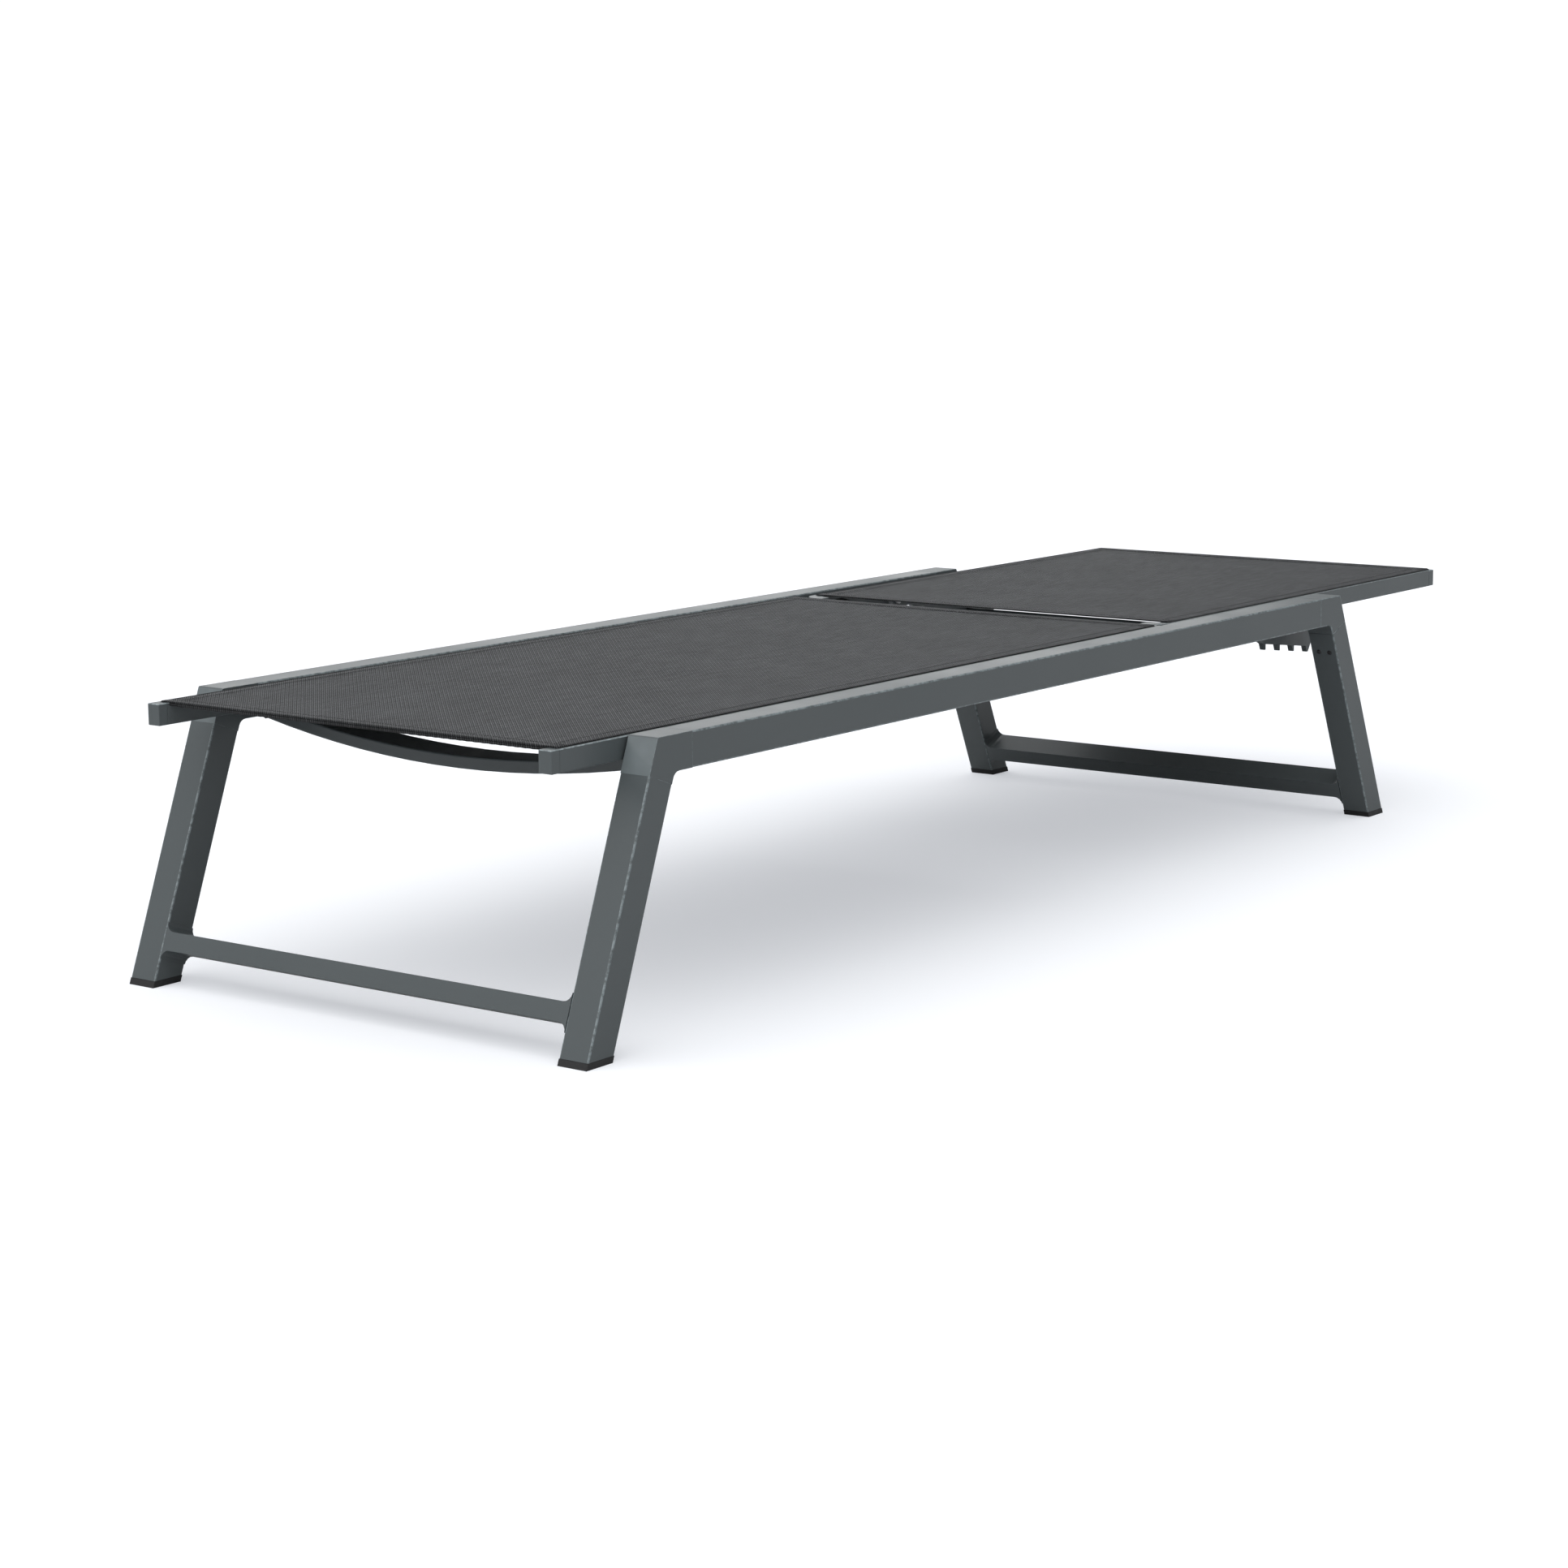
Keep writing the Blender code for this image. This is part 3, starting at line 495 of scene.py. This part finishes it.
endHem = {
    "depth": 0.0170,
    "height": 0.0016,
    "backRun": 0.0008,         # the blunt inner end of the hem
    "backRise": 0.0007,
    "backDrop": 0.0003,
    "sideInset": 0.0015,       # short of the slot in the rail
    "columns": 40,
    "foldDepth": 0.0040,       # folded edge along the hem, darkened as painted shade
    "foldRise": 0.0004,
    "foldProud": 0.00015,      # thicker than half the hem, and so round its nose
    "foldDrop": 0.0001,        # lower than the hem
    "foldAhead": 0.0002,       # further out than the hem
    "foldShort": 0.0005,       # narrower than the hem at each side
}


def hemReach(railOut):
    return railOut - sling["channelInset"] - endHem["sideInset"]


def hemRows(reach, edgeY, inward, base, outline):
    rows = []
    for i in range(endHem["columns"] + 1):
        x = reach * (2 * i / endHem["columns"] - 1)
        rows.append([(x, edgeY + inward * u, base + v) for u, v in outline])
    return rows


def makeEndHem(name, body, edgeY, inward, railOut, railTop):
    radius = endHem["height"] / 2
    depth = endHem["depth"]
    outline = arcPoints((radius, radius), radius, 90, 270, 6)
    outline += [(depth, 0.0), (depth + endHem["backRun"], endHem["backRise"])]
    outline += [(depth, endHem["height"] - endHem["backDrop"])]
    rows = hemRows(hemReach(railOut), edgeY, inward, railTop + sling["lie"], outline)
    return finishPiece(name, gridMesh(name, rows, closed=True), body,
                       finishes["mesh_fabric"])


def makeFoldedEdge(name, body, edgeY, inward, railOut, railTop):
    radius = endHem["height"] / 2 + endHem["foldProud"]
    base = railTop + sling["lie"] - endHem["foldDrop"]
    reach = hemReach(railOut) - endHem["foldShort"]
    outline = arcPoints((radius, radius), radius, 110, 270, 8)
    outline += [(endHem["foldDepth"], 0.0), (endHem["foldDepth"], endHem["foldRise"])]
    rows = hemRows(reach, edgeY - inward * endHem["foldAhead"], inward, base, outline)
    return finishPiece(name, gridMesh(name, rows, closed=True), body, shadedHemFinish)


sideEdge = {
    "width": 0.0034,
    "height": 0.0013,
    "lift": 0.0001,            # above the rail's top
    "overlap": 0.0024,         # how much of its width lies inboard of the slot
    "endGap": 0.0010,
    "innerRise": 0.0011,
    "innerRun": 0.0006,
    "outerRise": 0.0005,
    "outerRun": 0.0007,
    "outerShare": 0.9,         # of its height, at the outer shoulder
}


def sideEdgeOutline(railOut, railTop):
    inner = railOut - sling["channelInset"] - sideEdge["overlap"]
    outer = inner + sideEdge["width"]
    base = railTop + sideEdge["lift"]
    top = sideEdge["height"]
    outline = [(inner, base), (inner, base + sideEdge["innerRise"])]
    outline += [(inner + sideEdge["innerRun"], base + top)]
    outline += [(outer - sideEdge["outerRun"], base + top * sideEdge["outerShare"])]
    return outline + [(outer, base + sideEdge["outerRise"]), (outer, base)]


def makeSideEdges(name, body, span, railOut, railTop):
    outline = sideEdgeOutline(railOut, railTop)
    shape = bmesh.new()
    for sign in (-1, 1):
        rings = []
        for y in (span[0] + sideEdge["endGap"], span[1] - sideEdge["endGap"]):
            rings.append([shape.verts.new((sign * x, y, z)) for x, z in outline])
        for i in range(len(outline)):
            j = (i + 1) % len(outline)
            shape.faces.new((rings[0][i], rings[0][j], rings[1][j], rings[1][i]))
        shape.faces.new(rings[0])
        shape.faces.new(rings[1])
    # the side strips take the darker hem copy, painted shade along the slot
    return finishPiece(name, meshFrom(name, shape), body, shadedHemFinish)


hemPocket = {
    "wall": 0.0004,
    "reach": 0.2590,           # half its length, short of the rails
    "columns": 160,
    "throatY": 0.0042,         # behind the bar, where the plies come together
    "throatDrop": 0.0009,
    "plyDepth": 0.0180,        # how far the inner ply runs back under the mesh
    "plyDrop": 0.0006,
    "mouthY": 0.0030,
    "pucker": 0.00018,         # ripple between the stitches
    "puckerPitch": 0.0110,
    "puckerDrop": 0.0005,      # only what hangs lower than this ripples
}


def makeHemPocket(name, body, barNode, railTop):
    low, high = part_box(barNode)
    barY, barZ = (low.y + high.y) / 2, (low.z + high.z) / 2
    radius = (high.z - low.z) / 2 + hemPocket["wall"]
    under = railTop + sling["lie"]
    backY = barY + hemPocket["plyDepth"]
    outline = arcPoints((barY, barZ), radius, 95, 330, 16)
    outline += [(barY + hemPocket["throatY"], under - hemPocket["throatDrop"])]
    outline += [(backY, under - hemPocket["plyDrop"]), (backY + hemPocket["plyDrop"], under)]
    outline += [(barY + hemPocket["mouthY"], under)]
    rows = []
    for i in range(hemPocket["columns"] + 1):
        x = hemPocket["reach"] * (2 * i / hemPocket["columns"] - 1)
        swell = hemPocket["pucker"] * math.sin(2 * math.pi * x / hemPocket["puckerPitch"])
        hanging = under - hemPocket["puckerDrop"]
        rows.append([(x, y, z + (swell if z < hanging else 0.0)) for y, z in outline])
    # the pocket takes the darker hem copy, painted shade under the hem
    return finishPiece(name, gridMesh(name, rows, closed=True), body, shadedHemFinish)


def geometryTree(name, sizes, finishNames):
    tree = bpy.data.node_groups.new(name, "GeometryNodeTree")
    face = tree.interface
    for way in ("INPUT", "OUTPUT"):
        face.new_socket("Geometry", in_out=way, socket_type="NodeSocketGeometry")
    for label in sizes:
        face.new_socket(label, in_out="INPUT", socket_type="NodeSocketFloat")
    for label in finishNames:
        face.new_socket(label, in_out="INPUT", socket_type="NodeSocketMaterial")
    return tree, addNode(tree, "NodeGroupInput").outputs, addNode(tree, "NodeGroupOutput").inputs


def coated(tree, geometry, finish):
    made = addNode(tree, "GeometryNodeSetMaterial")
    tree.links.new(geometry, made.inputs["Geometry"])
    tree.links.new(finish, made.inputs["Material"])
    return made.outputs["Geometry"]


def repeated(tree, points, instance, turn, scale=None):
    placed = addNode(tree, "GeometryNodeInstanceOnPoints")
    tree.links.new(points, placed.inputs["Points"])
    tree.links.new(instance, placed.inputs["Instance"])
    tree.links.new(turn, placed.inputs["Rotation"])
    if scale:
        tree.links.new(scale, placed.inputs["Scale"])
    real = addNode(tree, "GeometryNodeRealizeInstances")
    tree.links.new(placed.outputs["Instances"], real.inputs["Geometry"])
    return real.outputs["Geometry"]


stitch = {"Bead Length": 0.0026, "Bead Pitch": 0.0038, "Bead Radius": 0.00032}
weldRipple = {"Bead Length": 0.0021, "Bead Pitch": 0.0011, "Bead Radius": 0.0013}


def beadTree():
    tree, source, result = geometryTree("beadsAlongPath", stitch, ("Finish",))
    points = addNode(tree, "GeometryNodeCurveToPoints", mode="LENGTH")
    feed(tree, points.inputs["Curve"], source["Geometry"])
    feed(tree, points.inputs["Length"], source["Bead Pitch"])
    ball = addNode(tree, "GeometryNodeMeshUVSphere")
    ball.inputs["Segments"].default_value = 6
    ball.inputs["Rings"].default_value = 5
    feed(tree, ball.inputs["Radius"], source["Bead Radius"])
    diameters = calc(tree, "DIVIDE", source["Bead Length"], source["Bead Radius"])
    size = addNode(tree, "ShaderNodeCombineXYZ")
    for axis, value in zip("XYZ", (1.0, 1.0, calc(tree, "MULTIPLY", diameters, 0.5))):
        feed(tree, size.inputs[axis], value)
    beads = repeated(tree, points.outputs["Points"], ball.outputs["Mesh"], points.outputs["Rotation"],
                     size.outputs[0])
    tree.links.new(coated(tree, beads, source["Finish"]), result["Geometry"])
    return tree


beadsAlongPath = beadTree()


def setInputs(change, values):
    for item in change.node_group.interface.items_tree:
        if item.item_type == "SOCKET" and item.in_out == "INPUT" and item.name in values:
            change[item.identifier] = values[item.name]


def pathObject(name, paths):
    curve = bpy.data.curves.new(name, "CURVE")
    curve.dimensions = "3D"
    for path in paths:
        line = curve.splines.new("POLY")
        line.points.add(len(path) - 1)
        for point, place in zip(line.points, path):
            point.co = (*place, 1.0)
    return looseObject(name, curve)


def makeBeads(name, body, paths, sizes, finish):
    raw = pathObject(name + "Path", paths)
    change = raw.modifiers.new("beads", "NODES")
    change.node_group = beadsAlongPath
    setInputs(change, {**sizes, "Finish": finish})
    return finishPiece(name, applied(raw), body, finish)


stitchPlace = {
    "lift": 0.0001,            # above the cloth
    "sideRow": 0.0035,         # outboard of the side hem's inner edge
    "sideStart": 0.0190,       # from the sling's end to where a side row begins
    "endRow": 0.0135,          # from the sling's end to the row across it
    "endShort": 0.0040,        # from the slot to where that row stops
}


def stitchPaths(span, railOut, railTop):
    clothBase = railTop + sling["lie"]
    sideZ = clothBase + sling["thickness"] + stitchPlace["lift"] + sling["hemStep"]
    sideX = railOut - sling["railWidth"] - sling["hemInset"] + stitchPlace["sideRow"]
    reach = railOut - sling["channelInset"] - stitchPlace["endShort"]
    low, high = span
    paths = []
    for sign in (-1, 1):
        ends = (low + stitchPlace["sideStart"], high - stitchPlace["sideStart"])
        paths.append([(sign * sideX, y, sideZ) for y in ends])
    for y in (low + stitchPlace["endRow"], high - stitchPlace["endRow"]):
        paths.append([(x, y, clothBase + endHem["height"]) for x in (-reach, reach)])
    return paths


def dressPanel(label, body, node, railNode, splineNode, barNode=None):
    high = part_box(railNode)[1]
    railOut, railTop = high.x, high.z
    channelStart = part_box(splineNode)[0].y - sling["channelLead"]
    cloth, flat = makeSling(label + "SlingCloth", body, node, railOut, railTop, channelStart)
    span = (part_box(node)[0].y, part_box(node)[1].y)
    for word, y, inward in (("Front", span[0], 1), ("Rear", span[1], -1)):
        makeEndHem(label + word + "Hem", body, y, inward, railOut, railTop)
        makeFoldedEdge(label + word + "HemEdge", body, y, inward, railOut, railTop)
    makeSideEdges(label + "SideEdges", body, span, railOut, railTop)
    if barNode:
        makeHemPocket(label + "HemPocket", body, barNode, railTop)
    makeBeads(label + "HemStitches", body, stitchPaths(span, railOut, railTop), stitch,
                            threadFinish)


dressPanel("seat", "base", "seat_sling", "seat_rail_right", "seat_spline_right",
           "seat_front_hem_bar")
dressPanel("back", "backrest", "back_sling", "backrest_rail_right", "back_spline_right")
print("slings, hems and stitches")


groundWeld = {                 # a ring ground nearly flush, over the seam between two tubes
    "seam": 0.0003,
    "railProud": 0.00002,
    "legProud": -0.00007,
    "sunk": 0.0001,
    "halfWidth": 0.0004,
    "crownShare": 0.4,         # of its width, at full height
    "cornerRadius": 0.0017,
    "bore": 0.0345,            # clears the peg inside the tube
    "boreRadius": 0.0004,
}


def roundedSquare(side, radius):
    half = side / 2 - radius
    points = []
    for turn, (u, v) in enumerate(((1, 1), (-1, 1), (-1, -1), (1, -1))):
        points += arcPoints((u * half, v * half), radius, 90 * turn, 90 * turn + 90, 3)
    return points


def makeGroundWeld(name, middle, ahead, side, proud):
    up = Vector((1, 0, 0)).cross(ahead)
    width = groundWeld["halfWidth"]
    crown = width * groundWeld["crownShare"]
    sunk = -groundWeld["sunk"]

    def loop(along, size, radius):
        outline = roundedSquare(size, radius)
        return [middle + Vector((u, 0, 0)) + up * v + ahead * along for u, v in outline]

    loops = []
    for along, extra in ((-width, sunk), (-crown, proud), (crown, proud), (width, sunk)):
        loops.append(loop(along, side + 2 * extra, groundWeld["cornerRadius"]))
    loops += [loop(along, groundWeld["bore"], groundWeld["boreRadius"]) for along in (width, -width)]
    finishPiece(name, ringMesh(name, loops), "base", tubeFinish)


def legLine(node):
    low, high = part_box(node)
    side = high.x - low.x
    reach, rise = high.y - low.y, high.z - low.z
    flat, steep = 0.0, math.radians(45)
    for step in range(40):     # halves the range until the leaning tube fills its box
        tilt = (flat + steep) / 2
        if rise * math.tan(tilt) + side * math.cos(tilt) > reach:
            steep = tilt
        else:
            flat = tilt
    inward = -1 if low.y > 0 else 1
    footY = low.y if inward > 0 else high.y
    outer = Vector(((low.x + high.x) / 2, footY + inward * rise * math.tan(tilt), high.z))
    across = Vector((0, inward * math.cos(tilt), -math.sin(tilt)))
    upwards = Vector((0, inward * math.sin(tilt), math.cos(tilt)))
    return outer, across, upwards, side


def dressLegs():
    for end in ("front", "rear"):
        for side in ("left", "right"):
            outer, across, upwards, width = legLine(f"leg_{end}_{side}")
            middle = outer + across * (width / 2) + upwards * (groundWeld["seam"] / 2)
            makeGroundWeld(end + "LegWeld" + side.title(), middle, upwards, width,
                           groundWeld["legProud"])


def dressSideRails():
    for side in ("left", "right"):
        low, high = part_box("side_rail_" + side)
        x, z, width = (low.x + high.x) / 2, (low.z + high.z) / 2, high.x - low.x
        past = groundWeld["seam"] / 2
        for word, y in (("front", low.y - past), ("rear", high.y + past)):
            makeGroundWeld(word + "RailWeld" + side.title(), Vector((x, y, z)), Vector((0, 1, 0)), width,
                           groundWeld["railProud"])


bowWeld = {
    "bowHeight": 0.0145,
    "inset": 0.0007,
    "standOff": 0.0003,
    "topGap": 0.0002,
    "corner": 0.0015,
}
bracketWeld = {"inset": 0.0004, "standOff": 0.0004, "foot": 0.0010, "topGap": 0.0005}


def bowWeldPath(node, sign):
    low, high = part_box(node)
    x = sign * (high.x - bowWeld["inset"])
    corner = bowWeld["corner"]
    top = high.z - bowWeld["topGap"]
    bottom = high.z - bowWeld["bowHeight"] - bowWeld["standOff"]
    front, rear = low.y - bowWeld["standOff"], high.y + bowWeld["standOff"]
    path = [(x, front, top), (x, front, bottom + corner), (x, front + corner, bottom)]
    return path + [(x, rear - corner, bottom), (x, rear, bottom + corner), (x, rear, top)]


def bracketWeldPaths(side, sign):
    low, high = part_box("rest_bar_bracket_" + side)
    x = sign * (max(abs(low.x), abs(high.x)) - bracketWeld["inset"])
    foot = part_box("side_rail_" + side)[0].z + bracketWeld["foot"]
    top = high.z - bracketWeld["topGap"]
    beside = (low.y - bracketWeld["standOff"], high.y + bracketWeld["standOff"])
    return [[(x, y, foot), (x, y, top)] for y in beside]


def dressWelds():
    paths = []
    for sign in (-1, 1):
        paths += [bowWeldPath(node, sign) for node in ("front_bow_tube", "middle_bow_tube")]
    for side, sign in (("left", -1), ("right", 1)):
        paths += bracketWeldPaths(side, sign)
    upper = [bowWeldPath("backrest_upper_bow", sign) for sign in (-1, 1)]
    coat = finishes["frame_powder_coat"]
    makeBeads("baseWelds", "base", paths, weldRipple, coat)
    makeBeads("backrestWelds", "backrest", upper, weldRipple, coat)


dressLegs()
dressSideRails()
dressWelds()
print("welds")


buttonScrew = {"Head Radius": 0.0046, "Head Height": 0.0024, "Socket Radius": 0.0015}
legScrew = {"Head Radius": 0.0033, "Head Height": 0.0016, "Socket Radius": 0.0012}
legScrewPlace = {"belowSeam": 0.028, "apart": 0.016}
screwShape = {
    "skirtHeight": 0.45,       # shares of the head's height
    "socketRise": 0.98,
    "socketHeight": 0.05,
    "rim": 0.93,               # shares of its radius
    "crown": 0.62,
    "sides": 20,
}


def screwTree():
    tree, source, result = geometryTree("buttonScrews", buttonScrew, ("Head Finish", "Socket Shade Finish"))

    def scaled(socket, times):
        return calc(tree, "MULTIPLY", socket, times)

    def cone(sides, bottom, top, depth, finish, rise):
        made = addNode(tree, "GeometryNodeMeshCone")
        made.inputs["Vertices"].default_value = sides
        feed(tree, made.inputs["Radius Bottom"], bottom)
        feed(tree, made.inputs["Radius Top"], top)
        feed(tree, made.inputs["Depth"], depth)
        lift = addNode(tree, "ShaderNodeCombineXYZ")
        feed(tree, lift.inputs["Z"], rise)
        moved = addNode(tree, "GeometryNodeTransform")
        feed(tree, moved.inputs["Geometry"], made.outputs["Mesh"])
        feed(tree, moved.inputs["Translation"], lift.outputs[0])
        return coated(tree, moved.outputs["Geometry"], source[finish])

    wide, tall, hexagon = source["Head Radius"], source["Head Height"], source["Socket Radius"]
    skirt = scaled(tall, screwShape["skirtHeight"])
    dome = scaled(tall, 1 - screwShape["skirtHeight"])
    rim, crown = scaled(wide, screwShape["rim"]), scaled(wide, screwShape["crown"])
    thin, socketRise = scaled(tall, screwShape["socketHeight"]), scaled(tall, screwShape["socketRise"])
    joined = addNode(tree, "GeometryNodeJoinGeometry")
    for geometry in (cone(screwShape["sides"], wide, rim, skirt, "Head Finish", 0.0),
                     cone(screwShape["sides"], rim, crown, dome, "Head Finish", skirt),
                     # the socket is a flat black hexagon on the head, painted shade for the hole
                     cone(6, hexagon, hexagon, thin, "Socket Shade Finish", socketRise)):
        tree.links.new(geometry, joined.inputs["Geometry"])
    facing = addNode(tree, "GeometryNodeInputNamedAttribute", data_type="FLOAT_VECTOR")
    facing.inputs["Name"].default_value = "facing"
    turn = addNode(tree, "FunctionNodeAlignRotationToVector", axis="Z")
    tree.links.new(facing.outputs["Attribute"], turn.inputs["Vector"])
    screws = repeated(tree, source["Geometry"], joined.outputs["Geometry"], turn.outputs["Rotation"])
    tree.links.new(screws, result["Geometry"])
    return tree


buttonScrews = screwTree()


def makeScrews(name, body, seats, sizes, slotName):
    mesh = bpy.data.meshes.new(name + "Seats")
    mesh.from_pydata([place for place, facing in seats], [], [])
    stored = mesh.attributes.new("facing", "FLOAT_VECTOR", "POINT")
    for entry, (place, facing) in zip(stored.data, seats):
        entry.vector = facing
    raw = looseObject(name + "Raw", mesh)
    change = raw.modifiers.new("screws", "NODES")
    change.node_group = buttonScrews
    setInputs(change, {**sizes, "Head Finish": finishes[slotName],
                       "Socket Shade Finish": finishes["black_plastic"]})
    finishPiece(name, applied(raw), body)


def spacerScrews():
    seats = []
    for side, sign in (("left", -1), ("right", 1)):
        low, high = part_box("seat_rail_" + side)
        inner = sign * min(abs(low.x), abs(high.x))
        for number in (1, 2, 3):
            a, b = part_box(f"seat_rail_spacer_{side}_{number}")
            place = (inner, (a.y + b.y) / 2, (a.z + b.z) / 2)
            seats.append((place, (-sign, 0.0, 0.0)))
    return seats


def legScrews():
    seats = []
    for end in ("front", "rear"):
        for side in ("left", "right"):
            outer, across, upwards, width = legLine(f"leg_{end}_{side}")
            middle = outer + across * width - upwards * legScrewPlace["belowSeam"]
            for shift in (-0.5, 0.5):
                place = middle + Vector((shift * legScrewPlace["apart"], 0, 0))
                seats.append((tuple(place), tuple(across)))
    return seats


makeScrews("seatRailScrews", "base", spacerScrews(), buttonScrew, "bright_steel")
makeScrews("legScrews", "base", legScrews(), legScrew, "black_plastic")
print("screws")


paleFloor = {
    "half": 28.0,
    "colour": (0.60, 0.605, 0.615, 1.0),
    "roughness": 0.9,
    "specular": 0.1,
    "liftColour": (0.92, 0.945, 1.0, 1.0),
    "lift": 0.47,              # glow that only a directly seen floor has, so it looks white
}


def makeFloor():
    mesh = bpy.data.meshes.new("floor")
    half = paleFloor["half"]
    mesh.from_pydata([(-half, -half, 0), (half, -half, 0), (half, half, 0), (-half, half, 0)], [],
                     [(0, 1, 2, 3)])
    material, tree, shader = newMaterial("paleFloor")
    shader.inputs["Base Color"].default_value = paleFloor["colour"]
    shader.inputs["Roughness"].default_value = paleFloor["roughness"]
    shader.inputs["Specular IOR Level"].default_value = paleFloor["specular"]
    shader.inputs["Emission Color"].default_value = paleFloor["liftColour"]
    seen = addNode(tree, "ShaderNodeLightPath").outputs["Is Camera Ray"]
    feed(tree, shader.inputs["Emission Strength"], calc(tree, "MULTIPLY", seen, paleFloor["lift"]))
    mesh.materials.append(material)
    looseObject("floor", mesh)


studio = {
    "light": ((0.95, 0.975, 1.0, 1.0), 0.29),    # what the world sheds on the lounger
    "backdrop": ((1.0, 1.0, 1.0, 1.0), 1.05),    # what is seen behind it
}


def background(tree, colour, strength):
    made = addNode(tree, "ShaderNodeBackground")
    made.inputs["Color"].default_value = colour
    made.inputs["Strength"].default_value = strength
    return made.outputs[0]


def makeWorld():
    world = bpy.data.worlds.new("studio")
    bpy.context.scene.world = world
    world.use_nodes = True
    tree = world.node_tree
    tree.nodes.clear()
    out = addNode(tree, "ShaderNodeOutputWorld")
    rays = addNode(tree, "ShaderNodeLightPath")
    mix = addNode(tree, "ShaderNodeMixShader")
    tree.links.new(rays.outputs["Is Camera Ray"], mix.inputs[0])
    tree.links.new(background(tree, *studio["light"]), mix.inputs[1])
    tree.links.new(background(tree, *studio["backdrop"]), mix.inputs[2])
    tree.links.new(mix.outputs[0], out.inputs["Surface"])


skyLight = {"strength": 2.9, "spreadAngle": 112.0, "towardsFoot": 20.0}
backPanel = {
    "place": (-4.1, 4.2, 1.35),
    "aim": (0.0, -0.2, 0.3),
    "size": (4.2, 1.8),
    "watts": 34.0,
}


def makeLights():
    sky = bpy.data.lights.new("sky", "SUN")
    sky.energy = skyLight["strength"]
    sky.angle = math.radians(skyLight["spreadAngle"])
    holder = looseObject("sky", sky)
    holder.rotation_euler = (math.radians(skyLight["towardsFoot"]), 0.0, 0.0)
    lamp = bpy.data.lights.new("behind", "AREA")
    lamp.shape = "RECTANGLE"
    lamp.size, lamp.size_y = backPanel["size"]
    lamp.energy = backPanel["watts"]
    holder = looseObject("behind", lamp)
    holder.visible_camera = False
    holder.location = backPanel["place"]
    aim = Vector(backPanel["aim"]) - holder.location
    holder.rotation_euler = aim.to_track_quat("-Z", "Y").to_euler()


camera = {
    "place": (2.4157, -3.3942, 0.8422),
    "turn": 36.58,             # degrees to the left of the head end
    "tilt": -9.65,
    "roll": -0.48,
    "lens": 76.46,
    "sensor": 36.0,
    "shift": (-0.0217, -0.0091),
    "farthest": 60.0,
}


def makeCamera():
    turn, tilt, roll = (math.radians(camera[key]) for key in ("turn", "tilt", "roll"))
    ahead = Vector((-math.sin(turn) * math.cos(tilt), math.cos(turn) * math.cos(tilt), math.sin(tilt)))
    right = Vector((math.cos(turn), math.sin(turn), 0.0))
    up = right.cross(ahead)
    rolledRight = right * math.cos(roll) + up * math.sin(roll)
    rolledUp = up * math.cos(roll) - right * math.sin(roll)
    data = bpy.data.cameras.new("camera")
    data.lens = camera["lens"]
    data.sensor_width = camera["sensor"]
    data.shift_x, data.shift_y = camera["shift"]
    data.clip_end = camera["farthest"]
    holder = looseObject("camera", data)
    axes = Matrix((rolledRight, rolledUp, -ahead)).transposed().to_4x4()
    holder.matrix_world = Matrix.Translation(camera["place"]) @ axes
    bpy.context.scene.camera = holder


makeFloor()
makeWorld()
makeLights()
makeCamera()
bpy.context.scene.view_settings.view_transform = "Standard"
print("floor, light and camera")

bpy.context.view_layer.update()
